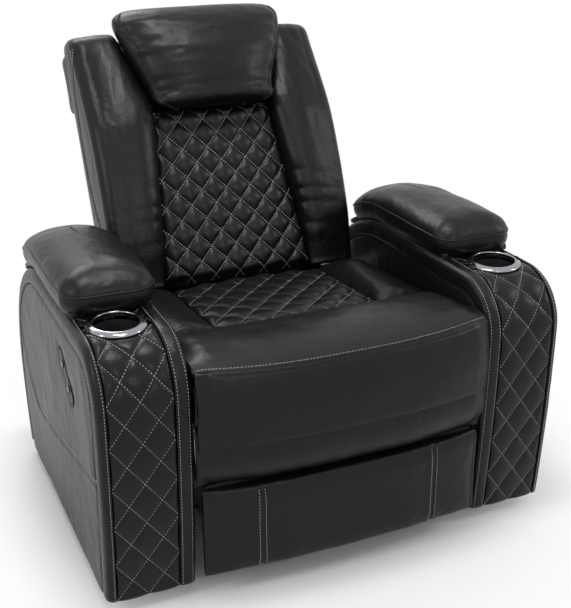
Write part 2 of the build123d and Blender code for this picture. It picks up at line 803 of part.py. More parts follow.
# Lower panel board with its two guide rails
foot_board = block(-board_half, board_half, board_front_y, board_rear_y, foot_bottom_z + foot_margin,
                   leg_bottom_z - running_gap)
for side in (-1, 1):
    middle = side * guide_x
    rail = block(middle - rail_half, middle + rail_half, board_rear_y + 2 * foot_rail_gap,
                 guide_rail_y, foot_bottom_z + foot_margin * 4, guide_rail_top)
    spacer = block(middle - rail_half, middle + rail_half, board_rear_y, guide_rail_y,
                   foot_bottom_z + foot_margin * 4, foot_top_z - foot_margin * 3)
    foot_board = foot_board + rail + spacer
save("foot_board", foot_board)

# Seat frame, with a notch for the drive rod, and its webbing
frame_x1 = seat_half_width - running_gap
frame_x0 = frame_x1 - rail_width
frame = block(-frame_x1, -frame_x0, frame_front_y, frame_rear_y, rail_bottom_z, rail_top_z)
frame = frame + block(frame_x0, frame_x1, frame_front_y, frame_rear_y, rail_bottom_z, rail_top_z)
frame = frame + block(-side_plate_x, side_plate_x, frame_front_y, frame_front_y + rail_width, rail_bottom_z,
                      rail_top_z)
frame = frame + block(-side_plate_x, side_plate_x, frame_rear_y - rail_width, frame_rear_y, rail_bottom_z,
                      rail_top_z)
drive_z = crank_z
notch = block(-crank_x / 2, crank_x / 2, frame_front_y - cut_over, frame_front_y + rail_width + cut_over,
              0, drive_z + drive_rod_radius + fold_gap)
frame = frame - notch
webs = []
web_span = 2 * frame_x0 / web_count
for index in range(web_count):
    x = -frame_x0 + web_span * (index + 1 / 2)
    webs.append(block(x - web_width / 2, x + web_width / 2, frame_front_y, frame_rear_y,
                      rail_top_z, rail_top_z + web_thickness))
save("seat_webbing", Compound(children=webs))

# Side plates with the pins of the leg rest and of the back
rake = math.radians(back_rake_deg)


def back_point(up, out):
    """A place on the back, up its face and out of its face, as (y, z)."""
    y = back_y + up * math.sin(rake) - out * math.cos(rake)
    z = back_z + up * math.cos(rake) + out * math.sin(rake)
    return (y, z)


recline_y, recline_z = back_point(recline_up, recline_out)
lug_lean_share = 0.3
lug_reach_share = 0.95
plates = []
for side in (-1, 1):
    x0, x1 = sorted((side * side_plate_x, side * (side_plate_x + plate)))
    p0, p1 = sorted((side * (hinge_arm_x - seam_gap), side * (side_plate_x + plate)))
    lug = outline([(knee_y - eye_radius * lug_lean_share, knee_z - eye_radius * lug_reach_share),
                   (knee_y + eye_radius * lug_lean_share, knee_z + eye_radius * lug_reach_share),
                   (frame_front_y, seat_under_z - soft_gap),
                   (frame_front_y + rail_width * 3, seat_under_z - soft_gap),
                   (frame_front_y + rail_width * 3, rail_bottom_z), (frame_front_y, rail_bottom_z)])
    body = block(x0, x1, frame_front_y, frame_rear_y, rail_bottom_z, rail_top_z)
    solid = body + slab(lug, x0, x1) + rod_x(x0, x1, knee_y, knee_z, eye_radius)
    tail = outline([(frame_rear_y - rail_width, rail_bottom_z), (recline_y, recline_z - eye_radius),
                    (recline_y, recline_z + eye_radius), (frame_rear_y - rail_width, rail_top_z)])
    solid = solid + slab(tail, x0, x1) + rod_x(x0, x1, recline_y, recline_z, eye_radius)
    solid = solid + rod_x(p0, p1, knee_y, knee_z, pin_radius) + rod_x(p0, p1, recline_y, recline_z, pin_radius)
    plates.append(solid)
save("seat_side_plates", Compound(children=plates))

# Seat slides: a channel on each arm's inner side, and a bar on the seat frame in it
slide_z = (rail_bottom_z + rail_top_z) / 2
channel_x0 = frame_x1 + running_gap
bars, channels_fixed = [], []
for side in (-1, 1):
    o0, o1 = sorted((side * (channel_x0 + running_gap), side * arm_inner_x))
    outer = block(o0, o1, slide_front_y, slide_front_y + slide_length, slide_z - slide_channel / 2,
                  slide_z + slide_channel / 2)
    h0, h1 = sorted((side * channel_x0, side * (arm_inner_x - slide_wall)))
    hollow_bar = block(h0, h1, slide_front_y - cut_over, slide_front_y + slide_length + cut_over,
                       slide_z - slide_height / 2 - running_gap, slide_z + slide_height / 2 + running_gap)
    channels_fixed.append(outer - hollow_bar)
    b0, b1 = sorted((side * frame_x1, side * (arm_inner_x - slide_wall - running_gap)))
    bars.append(block(b0, b1, slide_front_y, slide_front_y + slide_length - seat_travel,
                      slide_z - slide_height / 2, slide_z + slide_height / 2))
save("slide_channels", Compound(children=channels_fixed))
save("slide_bars", Compound(children=bars))

# Leg rest drive: a motor and tube under the seat, and a rod with a yoke round the crank pin
yoke_y = crank_y
yoke_half = pin_radius + yoke_gap
yoke_low_z = knee_z - crank_radius - pin_radius - yoke_gap * 2
yoke = block(-drive_tube_radius, drive_tube_radius,
             yoke_y - yoke_half - yoke_wall, yoke_y + yoke_half + yoke_wall,
             yoke_low_z - yoke_wall, drive_z + pin_radius + yoke_gap)
yoke_slot = block(-drive_tube_radius - cut_over, drive_tube_radius + cut_over, yoke_y - yoke_half,
                  yoke_y + yoke_half, yoke_low_z, drive_z + pin_radius + yoke_gap * 2)
rod_z = knee_z - crank_radius
rod_end = yoke_y + yoke_half + yoke_wall + drive_rod_length
drive_rod = rod_y(yoke_y + yoke_half + yoke_wall / 2, rod_end, 0, rod_z, drive_rod_radius)
save("drive_carriage", yoke - yoke_slot + drive_rod)
tube_y0 = rod_end - drive_tube_length + fold_gap
tube = rod_y(tube_y0, rod_end + fold_gap, 0, rod_z, drive_tube_radius)
tube = tube - rod_y(tube_y0 - cut_over, rod_end + soft_gap, 0, rod_z, drive_rod_radius + running_gap)
motor = block(-motor_width / 2, motor_width / 2, rod_end + fold_gap, rod_end + fold_gap + motor_length,
              rod_z - motor_width / 2, rod_z + motor_width / 2 - fold_gap)
cross = block(-side_plate_x, side_plate_x, tube_y0 + fold_gap, tube_y0 + fold_gap + rail_width,
              rod_z - drive_tube_radius, rail_bottom_z + drive_tube_radius)
cross_bore = rod_y(tube_y0, tube_y0 + rail_width * 2, 0, rod_z, drive_tube_radius + seam_gap)
save("drive_tube", tube + motor)
save("seat_frame", frame + (cross - cross_bore))


# Back cushions, built flat and then raked: x across, first axis up the face, second out of the face
def back_plane(up):
    """The cross section plane of the back at a height up its face."""
    y, z = back_point(up, 0)
    return Plane(origin=(0, y, z), x_dir=(1, 0, 0), z_dir=(0, math.sin(rake), math.cos(rake)))


def back_xy(x, out):
    """A section point: the plane's second axis points into the back."""
    return (x, -out)


def back_block(x0, x1, up0, up1, out0, out1):
    """A box in the back's own directions."""
    face = back_plane(up0) * Pos((x0 + x1) / 2, -(out0 + out1) / 2) * Rectangle(x1 - x0, out1 - out0)
    return extrude(face, amount=up1 - up0)


def back_rod(x0, x1, up, out, radius):
    """A round rod across the back."""
    y, z = back_point(up, out)
    return rod_x(x0, x1, y, z, radius)


def quilt_half(up):
    """Half the width of the quilted centre at a height up the back."""
    return back_quilt_low_half + (back_quilt_top_half - back_quilt_low_half) * up / back_quilt_top


quilt_place_share = [0, 0.04, 0.945, 0.98, 1]
quilt_out_share = [-0.16, 0, 0, -0.09, -0.34]
back_sections = []
for place, out in zip(quilt_place_share, quilt_out_share):
    up = back_quilt_top * place
    half = quilt_half(up) - seam_gap
    face_out = out * back_face_depth
    rear = Line(back_xy(-half, -back_face_depth), back_xy(half, -back_face_depth))
    side_b = Line(back_xy(half, -back_face_depth), back_xy(half, face_out))
    over = ThreePointArc(back_xy(half, face_out), back_xy(0, face_out + back_quilt_crown), back_xy(-half, face_out))
    side_a = Line(back_xy(-half, face_out), back_xy(-half, -back_face_depth))
    back_sections.append(back_plane(up) * make_face([rear, side_b, over, side_a]))
back_quilt = loft(back_sections, ruled=True)


def back_surface(across, up):
    """A point on the quilted back's face, with its normal."""
    half = quilt_half(up)
    out = back_quilt_crown * (1 - (across / half) ** 2)
    y, z = back_point(up, out)
    tip = 2 * back_quilt_crown * across / half ** 2
    return (across, y, z), (tip, -math.cos(rake), math.sin(rake))


quilt_lines_share = 0.92
quilt_step_share = 1.5
line_steps = 40
back_lines = []
for line in diamond_lines(back_quilt_low_half, fold_gap * 2, back_quilt_top * quilt_lines_share,
                          back_diamond_width, back_diamond_height):
    (x0, s0), (x1, s1) = line
    inside = []
    for index in range(line_steps + 1):
        part = index / line_steps
        x, s = x0 + (x1 - x0) * part, s0 + (s1 - s0) * part
        if abs(x) <= quilt_half(s):
            inside.append((x, s))
    if len(inside) > 2:
        back_lines.append((inside[0], inside[-1]))
back_quilt = cut_channels(back_quilt, channels(back_lines, back_surface, back_diamond_width * quilt_step_share))
lug_gap = running_gap * 2
for side in (-1, 1):
    l0, l1 = sorted((side * (head_arm_x - plate - lug_gap), side * (head_arm_x + 2 * plate + lug_gap)))
    back_quilt = back_quilt - back_block(l0, l1, head_pivot_up - eye_radius * 2, back_quilt_top + cut_over,
                                         -back_face_depth - cut_over, head_pivot_out + eye_radius)
save("back_quilt", back_quilt)

# Wings: plain stuffed bolsters beside the quilted centre, open at the top for the head pillow
wing_place_share = [0, 0.02, 0.1, 0.35, 0.62, 0.7, 0.86, 0.96, 1]
wing_crown_share = [-0.3, 0.35, 0.85, 1, 0.97, 0.92, 0.74, 0.4, -0.3]
wing_edge_share = [-0.3, 0.1, 0.36, 0.5, 0.44, 0.32, 0.08, -0.22, -0.75]
wing_inner_share = [-0.4, -0.1, 0.05, 0.12, 0.1, 0.05, -0.05, -0.25, -0.8]
wing_peak_share = 0.52


def wing_inner(up):
    """The wing's inner edge: beside the quilted centre, then beside the wider head pillow."""
    if up <= back_quilt_top:
        return quilt_half(up) + soft_gap / 4
    part = (up - back_quilt_top) / (wing_top - back_quilt_top)
    return head_gap_half + (head_top_half - head_gap_half) * part


wing_sections = []
for place, crown, edge, sewn in zip(wing_place_share, wing_crown_share, wing_edge_share, wing_inner_share):
    up = wing_top * place
    inner, outer = wing_inner(up), back_half_width - (wing_inset if place in (0, 1) else 0)
    rear = -back_face_depth + seam_gap
    edge_out = wing_crown * edge
    sewn_out = wing_crown * sewn
    line_rear = Line(back_xy(inner, rear), back_xy(outer, rear))
    line_out = Line(back_xy(outer, rear), back_xy(outer, edge_out))
    mid_x = inner + (outer - inner) * wing_peak_share
    peak = back_xy(mid_x, wing_crown * crown)
    bend_over = ThreePointArc(back_xy(outer, edge_out), peak, back_xy(inner, sewn_out))
    line_in = Line(back_xy(inner, sewn_out), back_xy(inner, rear))
    wing_sections.append(back_plane(up) * make_face([line_rear, line_out, bend_over, line_in]))
wing = loft(wing_sections, ruled=True)
save_pair("back_wing", wing)

# Back frame board, with its hinge arms and the head pillow's lugs
frame_out1 = -back_face_depth - seam_gap
frame_out0 = frame_out1 - back_board
eye_low_share = 0.7
eye_high_share = 1.3
eye_half_share = 0.5
frame_half = back_half_width - wing_inset
back_frame = back_block(-frame_half, frame_half, 0, back_top, frame_out0, frame_out1)
for side in (-1, 1):
    x0, x1 = sorted((side * hinge_arm_x, side * (hinge_arm_x + plate)))
    arm = back_block(x0, x1, recline_up, back_quilt_top / 4, frame_out0 - leg_arm_width / 2, frame_out0)
    link = back_block(x0, x1, recline_up - eye_radius * eye_low_share,
                      recline_up + eye_radius * eye_high_share, frame_out0 - leg_arm_width / 2, recline_out)
    back_frame = back_frame + arm + link + back_rod(x0, x1, recline_up, recline_out, eye_radius)
    l0, l1 = sorted((side * head_arm_x, side * (head_arm_x + plate)))
    lug_half = eye_radius * eye_low_share
    lug = back_block(l0, l1, head_pivot_up - lug_half, head_pivot_up + lug_half, frame_out1, head_pivot_out)
    lug = lug + back_rod(l0, l1, head_pivot_up, head_pivot_out, eye_radius * eye_low_share)
    back_frame = back_frame + lug
    q0, q1 = sorted((side * (head_arm_x - plate - running_gap), side * (head_arm_x + plate)))
    back_frame = back_frame + back_rod(q0, q1, head_pivot_up, head_pivot_out, lid_pin_radius)
back_frame = back_frame - back_rod(-arm_inner_x, arm_inner_x, recline_up, recline_out, pin_radius + pin_gap)
save("back_frame", back_frame)


# Rear cover of the back, deeper at the top
def short_edges(shape, limit):
    """The edges of a board that are shorter than a limit."""
    return [edge for edge in shape.edges() if edge.length < limit]


cover_out1 = frame_out0 - seam_gap
cover = back_block(-back_half_width, back_half_width, rear_cover_low, wing_top - fold_gap,
                   cover_out1 - rear_cover_depth, cover_out1)
cover = fillet(short_edges(cover, rear_cover_depth + cut_over), rear_cover_round)
arm_slot = []
for side in (-1, 1):
    x0, x1 = sorted((side * (hinge_arm_x - running_gap * 2), side * (hinge_arm_x + plate + running_gap * 2)))
    arm_slot.append(back_block(x0, x1, rear_cover_low - cut_over, back_quilt_top / 4 + cut_over,
                               cover_out1 - leg_arm_width, cover_out1 + cut_over))
upper = back_block(-back_half_width, back_half_width, rear_upper_low, wing_top - fold_gap,
                   cover_out1 - rear_cover_depth - rear_upper_depth,
                   cover_out1 - rear_cover_depth + cut_over)
upper = fillet(short_edges(upper, rear_upper_depth + 2 * cut_over), rear_cover_round)
save("back_rear_cover", cover + upper - arm_slot)

# Head pillow and its board
head_up_share = [0, 0.035, 0.08, 0.14, 0.3, 0.52, 0.76, 0.91, 1]
head_front_share = [0.5, 0.68, 0.82, 0.92, 1, 1, 0.82, 0.52, 0.14]
head_rear_share = [-0.32, -0.1, 0.4, 0.94, 1, 1, 1, 0.9, 0.5]
head_width_share = [0, 0.04, 0.085, 0.15, 0.32, 0.55, 0.81, 0.95, 0.84]
head_sections = []
for place, front, rear, wide in zip(head_up_share, head_front_share, head_rear_share, head_width_share):
    up = head_low + (head_top - head_low) * place
    half = head_low_half + (head_high_half - head_low_half) * wide
    f, r = head_front * front, head_rear * rear
    side_out = (f + r) / 2 + fold_gap
    base = half - fold_gap
    back_line = Line(back_xy(-base, r), back_xy(base, r))
    swell = (side_out + r) / 2
    edge_x = half - soft_gap
    end_b = ThreePointArc(back_xy(base, r), back_xy(half, swell), back_xy(edge_x, side_out))
    over = ThreePointArc(back_xy(edge_x, side_out), back_xy(0, f), back_xy(-edge_x, side_out))
    end_a = ThreePointArc(back_xy(-edge_x, side_out), back_xy(-half, swell), back_xy(-base, r))
    head_sections.append(back_plane(up) * make_face([back_line, end_b, over, end_a]))
pillow = loft(head_sections, ruled=True)
head_board_low = head_pivot_up + eye_radius * eye_high_share
board_half = head_low_half - fold_gap
board = back_block(-board_half, board_half, head_board_low, head_top - fold_gap * 7, head_board_out, head_board_out + head_board)
for side in (-1, 1):
    a0, a1 = sorted((side * (head_arm_x - plate), side * (head_arm_x - running_gap)))
    swing_half = eye_radius * eye_half_share
    swing = back_block(a0, a1, head_pivot_up - swing_half, head_board_low + eye_radius, head_board_out,
                       head_pivot_out + swing_half)
    swing = swing + back_rod(a0, a1, head_pivot_up, head_pivot_out, eye_radius * eye_low_share)
    board = board + swing
    c0, c1 = sorted((side * (head_arm_x - plate - running_gap), side * (head_arm_x + plate + running_gap)))
    pillow = pillow - back_block(c0, c1, head_low - cut_over,
                                 head_board_low + eye_radius + running_gap, head_rear * 2,
                                 head_pivot_out + eye_radius)
    board = board - back_rod(a0 - running_gap, a1 + running_gap, head_pivot_up, head_pivot_out,
                             lid_pin_radius + pin_gap)
save("head_pillow", pillow)
save("head_board", board)

# Glide base: runners, cross tubes, floor pads and four upright brackets with pins
runner_x1 = base_half_width + plate
base = None
for side in (-1, 1):
    x0, x1 = sorted((side * (runner_x1 - base_tube), side * runner_x1))
    runner = block(x0, x1, base_front_y, base_rear_y, floor_pad, floor_pad + base_tube)
    base = runner if base is None else base + runner
for y in (base_front_y + base_tube / 2, base_rear_y - base_tube / 2):
    cross = block(-runner_x1, runner_x1, y - base_tube / 2, y + base_tube / 2, floor_pad, floor_pad + base_tube)
    base = base + cross
save("base_frame", base)
pads = []
for side in (-1, 1):
    for y in (base_front_y + base_tube / 2, base_rear_y - base_tube / 2):
        x = side * (runner_x1 - base_tube / 2)
        pads.append(Pos(x, y, floor_pad / 2) * Cylinder(floor_pad_radius, floor_pad))
save("base_floor_pads", Compound(children=pads))
brackets = []
for side in (-1, 1):
    for y in (swing_front_y, swing_rear_y):
        x0, x1 = sorted((side * (runner_x1), side * (runner_x1 + plate)))
        shape = outline([(y - bracket_width / 2, floor_pad), (y + bracket_width / 2, floor_pad),
                         (y + bracket_top_width / 2, swing_top_z), (y - bracket_top_width / 2, swing_top_z)])
        body = slab(shape, x0, x1) + rod_x(x0, x1, y, swing_top_z, bracket_top_width / 2)
        p0, p1 = sorted((side * runner_x1, side * (runner_x1 + 2 * plate + 2 * running_gap)))
        brackets.append(body + rod_x(p0, p1, y, swing_top_z, pin_radius))
save("base_brackets", Compound(children=brackets))

# Swing links, between the brackets and the hanger rails
link_x = runner_x1 + plate + running_gap
low_pin_z = swing_top_z - swing_length
for name, y in (("front", swing_front_y), ("rear", swing_rear_y)):
    links = []
    for side in (-1, 1):
        x0, x1 = sorted((side * link_x, side * (link_x + plate)))
        bar = block(x0, x1, y - link_width / 2, y + link_width / 2, low_pin_z, swing_top_z)
        bar = bar + rod_x(x0, x1, y, low_pin_z, link_width / 2)
        bar = bar + rod_x(x0, x1, y, swing_top_z, link_width / 2)
        opened = running_gap if name == "rear" else pin_gap
        bar = bar - rod_x(x0 - cut_over, x1 + cut_over, y, swing_top_z, pin_radius + opened)
        bar = bar - rod_x(x0 - cut_over, x1 + cut_over, y, low_pin_z, pin_radius + pin_gap)
        links.append(bar)
    save("swing_links_" + name, Compound(children=links))

# Chassis: hanger rails with the lower pins, and two beams between the arms
hanger_x = link_x + plate + running_gap
hangers = []
for side in (-1, 1):
    x0, x1 = sorted((side * hanger_x, side * (hanger_x + plate)))
    rail = block(x0, x1, beam_front_y - beam_width / 2, beam_rear_y + beam_width / 2,
                 low_pin_z - hanger_height / 2, beam_z)
    for y in (swing_front_y, swing_rear_y):
        p0, p1 = sorted((side * (link_x - running_gap), side * hanger_x))
        rail = rail + rod_x(p0, p1, y, low_pin_z, pin_radius)
    hangers.append(rail)
save("hanger_rails", Compound(children=hangers))
beams = []
for name, y in (("front", beam_front_y), ("rear", beam_rear_y)):
    beam = block(-arm_inner_x, arm_inner_x, y - beam_width / 2, y + beam_width / 2, beam_z, beam_z + beam_height)
    beams.append(beam)
save("chassis_beams", Compound(children=beams))

# Power inlet on the rear beam
inlet_y = beam_rear_y + beam_width / 2
inlet = block(-inlet_width / 2, inlet_width / 2, inlet_y, inlet_y + inlet_depth, beam_z, beam_z + inlet_height)
inlet = inlet - rod_y(inlet_y + inlet_depth / 2, inlet_y + inlet_depth + cut_over, 0, beam_z + inlet_height / 2,
                      inlet_bore_radius)
save("power_inlet", inlet)
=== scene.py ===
"""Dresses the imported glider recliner: leather, quilting, stitching, cup rings, light and camera."""

import json
import logging
import math
from dataclasses import dataclass, field
from enum import Enum
from typing import Callable, Dict, List, Optional, Sequence, Tuple

import bmesh
import bpy
from mathutils import Matrix, Vector, noise
from mathutils.bvhtree import BVHTree


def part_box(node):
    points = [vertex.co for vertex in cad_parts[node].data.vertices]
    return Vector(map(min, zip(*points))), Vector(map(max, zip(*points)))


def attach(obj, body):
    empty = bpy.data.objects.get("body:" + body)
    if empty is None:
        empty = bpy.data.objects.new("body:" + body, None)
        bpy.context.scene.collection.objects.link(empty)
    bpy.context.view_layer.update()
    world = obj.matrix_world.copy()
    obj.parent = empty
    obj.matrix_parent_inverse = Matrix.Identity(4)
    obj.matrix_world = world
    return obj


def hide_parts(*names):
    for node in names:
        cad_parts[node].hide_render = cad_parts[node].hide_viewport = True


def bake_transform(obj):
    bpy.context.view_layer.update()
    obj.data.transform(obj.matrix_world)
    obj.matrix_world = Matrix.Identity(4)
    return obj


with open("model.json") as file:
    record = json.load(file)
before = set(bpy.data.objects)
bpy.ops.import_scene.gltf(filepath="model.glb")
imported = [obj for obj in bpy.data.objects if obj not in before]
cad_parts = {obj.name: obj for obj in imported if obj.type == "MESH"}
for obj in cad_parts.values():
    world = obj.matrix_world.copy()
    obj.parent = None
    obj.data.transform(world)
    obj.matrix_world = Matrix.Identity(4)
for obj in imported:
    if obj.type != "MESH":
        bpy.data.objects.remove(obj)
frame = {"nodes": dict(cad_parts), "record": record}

LOG = logging.getLogger("recliner")
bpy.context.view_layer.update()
MM = 0.001
FORWARD_SHIFT = 26.1
CONTACT = 0.00002
KNEE_Y, KNEE_Z = -454.0, 415.0
FOLD_END_Y = -527.5
FRONT_BOW = 30.0
Place = Callable[[float, float], Vector]
Room = Tuple[Vector, Vector]
Section = Sequence[Tuple[float, float]]


class Side(Enum):
    """The two arms, from the side of somebody who looks at the chair's front."""

    LEFT = -1
    RIGHT = 1

    def name_for(self, node: str) -> str:
        """The name of a paired node on this side."""
        return f"{node}_{self.name.lower()}"


def at(x: float, y: float, z: float) -> Vector:
    """A point of the chair's own millimetre drawing, in metres of the frame."""
    return Vector((x * MM, (y + FORWARD_SHIFT) * MM, z * MM))


def drawn(co: Vector) -> Vector:
    """The drawing's point for a place in the frame: the reverse of at."""
    return Vector((co.x / MM, co.y / MM - FORWARD_SHIFT, co.z / MM))


def smooth(value: float, low: float, high: float) -> float:
    """A soft step from 0 at low to 1 at high."""
    part = min(1.0, max(0.0, (value - low) / (high - low)))
    return part * part * (3 - 2 * part)


def spaced(low: float, high: float, step: float) -> List[float]:
    """Evenly spaced values from low to high, about a step apart."""
    count = max(1, round(abs(high - low) / step))
    return [low + (high - low) * index / count for index in range(count + 1)]


# ---------------------------------------------------------------- finishes


class Number:
    """A number in a node tree that takes Python's arithmetic."""

    def __init__(self, graph: "Graph", socket: bpy.types.NodeSocket) -> None:
        """Wraps an output socket."""
        self.graph = graph
        self.socket = socket

    def maths(self, operation: str, *values: object) -> "Number":
        """Adds a Math node.

        Args:
            operation: The node's operation.
            values: Numbers or plain values for its sockets.

        Returns:
            The node's result.
        """
        sockets = dict(enumerate(values))
        return self.graph.node("ShaderNodeMath", {"operation": operation}, sockets)

    def __add__(self, other: object) -> "Number":
        """Sum."""
        return self.maths("ADD", self, other)

    __radd__ = __add__

    def __sub__(self, other: object) -> "Number":
        """Difference."""
        return self.maths("SUBTRACT", self, other)

    def __rsub__(self, other: object) -> "Number":
        """Difference, the other way round."""
        return self.maths("SUBTRACT", other, self)

    def __mul__(self, other: object) -> "Number":
        """Product."""
        return self.maths("MULTIPLY", self, other)

    __rmul__ = __mul__


class Graph:
    """A node tree, with one way to add any node."""

    def __init__(self, tree: bpy.types.NodeTree) -> None:
        """Takes a tree."""
        self.tree = tree

    def node(self, kind: str, settings: Dict[str, object], sockets: Dict[object, object],
             output: object = 0) -> Number:
        """Adds a node.

        Args:
            kind: The node's type.
            settings: Its settings, set first.
            sockets: Values or links for its sockets.
            output: Which output to return.

        Returns:
            The chosen output.
        """
        node = self.tree.nodes.new(kind)
        for key, value in settings.items():
            setattr(node, key, value)
        for key, value in sockets.items():
            if isinstance(value, Number):
                value = value.socket
            if isinstance(value, bpy.types.NodeSocket):
                self.tree.links.new(value, node.inputs[key])
            else:
                node.inputs[key].default_value = value
        return Number(self, node.outputs[output])

    def background_rays(self) -> Number:
        """1 for the rays that show the background itself, 0 for those that light the chair."""
        seen, *others = [self.node("ShaderNodeLightPath", {}, {}, ray)
                         for ray in ("Is Camera Ray", "Is Glossy Ray", "Is Transmission Ray")]
        for ray in others:
            seen = seen.maths("MAXIMUM", seen, ray)
        return seen


class Paint(Graph):
    """A material's node tree round its Principled shader."""

    def __init__(self, name: str) -> None:
        """Starts a material with a bare Principled shader."""
        self.material = bpy.data.materials.new(name)
        self.material.use_nodes = True
        super().__init__(self.material.node_tree)
        self.shader = self.tree.nodes["Principled BSDF"]
        self.place = self.node("ShaderNodeTexCoord", {}, {}, "Object").socket

    def noise(self, scale: float, detail: float = 2.0, roughness: float = 0.5, distortion: float = 0.0,
              place: Optional[bpy.types.NodeSocket] = None) -> Number:
        """Noise on the object's own coordinates."""
        return self.node("ShaderNodeTexNoise", {}, {
            "Vector": place or self.place, "Scale": scale, "Detail": detail,
            "Roughness": roughness, "Distortion": distortion}, "Fac")

    def stretched(self, x: float, y: float, z: float) -> bpy.types.NodeSocket:
        """The object's coordinates, scaled by axis."""
        return self.node("ShaderNodeMapping", {}, {"Vector": self.place, "Scale": (x, y, z)}).socket

    def bump(self, height: Number, distance: float, under: Optional[Number] = None) -> Number:
        """A bump of a height, in metres, on top of another."""
        sockets: Dict[object, object] = {"Height": height, "Distance": distance, "Strength": 1.0}
        if under is not None:
            sockets["Normal"] = under
        return self.node("ShaderNodeBump", {}, sockets)

    def blend(self, factor: Number, low: Sequence[float], high: Sequence[float]) -> Number:
        """A colour between two."""
        return self.node("ShaderNodeMix", {"data_type": "RGBA"}, {0: factor, 6: (*low, 1), 7: (*high, 1)}, 2)

    def feed(self, **sockets: object) -> bpy.types.Material:
        """Sets the shader's sockets, with spaces for underscores, and gives the material back."""
        for key, value in sockets.items():
            name = key.replace("_", " ")
            if isinstance(value, Number):
                self.tree.links.new(value.socket, self.shader.inputs[name])
            else:
                self.shader.inputs[name].default_value = value
        return self.material


@dataclass(frozen=True)
class LeatherFinish:
    """Coated black leather: a pebble grain on soft creases, with an uneven polish."""

    name: str
    dark: Tuple[float, float, float] = (0.0022, 0.0022, 0.0025)
    worn: Tuple[float, float, float] = (0.0062, 0.0063, 0.0070)
    polish: float = 0.34
    unevenness: float = 0.14
    gloss: float = 0.22
    crease_size: float = 26.0
    crease_depth: float = 0.0020
    grain_size: float = 620.0
    grain_depth: float = 0.00016

    def material(self) -> bpy.types.Material:
        """Builds the finish."""
        graph = Paint(self.name)
        pebble = graph.node("ShaderNodeTexVoronoi", {"feature": "SMOOTH_F1"},
                            {"Vector": graph.place, "Scale": self.grain_size, "Smoothness": 0.6}, "Distance")
        crease = graph.noise(self.crease_size, 3.0, 0.45, 0.7)
        broad = graph.noise(9.0, 2.0)
        soft = graph.bump(crease, self.crease_depth)
        fine = graph.bump(pebble, self.grain_depth, soft)
        tone = graph.blend(broad, self.dark, self.worn)
        polish = self.polish - self.unevenness * 0.5 + self.unevenness * broad + pebble * 0.05
        return graph.feed(Base_Color=tone, Roughness=polish, Specular_IOR_Level=self.gloss, Normal=fine)


@dataclass(frozen=True)
class ThreadFinish:
    """Twisted sewing thread."""

    name: str
    colour: Tuple[float, float, float] = (0.50, 0.50, 0.51)

    def material(self) -> bpy.types.Material:
        """Builds the finish."""
        graph = Paint(self.name)
        twist = graph.noise(2600.0, 1.0)
        dim = tuple(value * 0.7 for value in self.colour)
        return graph.feed(Base_Color=graph.blend(twist, dim, self.colour), Roughness=0.62,
                          Normal=graph.bump(twist, 0.0001))


@dataclass(frozen=True)
class MetalFinish:
    """Bare or plated metal, with drawn scratches."""

    name: str
    colour: Tuple[float, float, float]
    polish: float
    drawn: float = 0.1

    def material(self) -> bpy.types.Material:
        """Builds the finish."""
        graph = Paint(self.name)
        scratch = graph.noise(60.0, 4.0, 0.6, 0.0, graph.stretched(1.0, 14.0, 14.0))
        tone = tuple(value * 0.82 for value in self.colour)
        return graph.feed(Base_Color=graph.blend(scratch, tone, self.colour), Metallic=1.0,
                          Roughness=self.polish + scratch * self.drawn,
                          Normal=graph.bump(scratch, 0.00003))


@dataclass(frozen=True)
class CoatFinish:
    """Paint, moulded plastic or rubber with a fine texture."""

    name: str
    colour: Tuple[float, float, float]
    polish: float
    texture_size: float = 900.0
    texture_depth: float = 0.00008

    def material(self) -> bpy.types.Material:
        """Builds the finish."""
        graph = Paint(self.name)
        texture = graph.noise(self.texture_size, 2.0)
        dust = graph.noise(24.0, 3.0)
        tone = tuple(min(1.0, value * 1.5 + 0.004) for value in self.colour)
        return graph.feed(Base_Color=graph.blend(dust, self.colour, tone),
                          Roughness=self.polish + dust * 0.12,
                          Normal=graph.bump(texture, self.texture_depth))


@dataclass(frozen=True)
class WoodFinish:
    """Dark stained plywood with a drawn-out grain."""

    name: str
    pale: Tuple[float, float, float] = (0.034, 0.026, 0.019)
    dark: Tuple[float, float, float] = (0.015, 0.011, 0.008)

    def material(self) -> bpy.types.Material:
        """Builds the finish."""
        graph = Paint(self.name)
        figure = graph.noise(30.0, 5.0, 0.6, 1.2, graph.stretched(6.0, 0.6, 6.0))
        return graph.feed(Base_Color=graph.blend(figure, self.pale, self.dark),
                          Roughness=0.62 + figure * 0.1, Normal=graph.bump(figure, 0.0002))


@dataclass(frozen=True)
class WebFinish:
    """Woven straps and cloth."""

    name: str
    colour: Tuple[float, float, float]
    pitch: float = 420.0

    def material(self) -> bpy.types.Material:
        """Builds the finish."""
        graph = Paint(self.name)
        weave = graph.node("ShaderNodeTexChecker", {}, {"Vector": graph.place, "Scale": self.pitch}, "Fac")
        fuzz = graph.noise(1500.0, 2.0)
        dark = tuple(value * 0.6 for value in self.colour)
        return graph.feed(Base_Color=graph.blend(weave * 0.6 + fuzz * 0.4, dark, self.colour),
                          Roughness=0.85, Normal=graph.bump(weave * 0.5 + fuzz * 0.5, 0.0003))


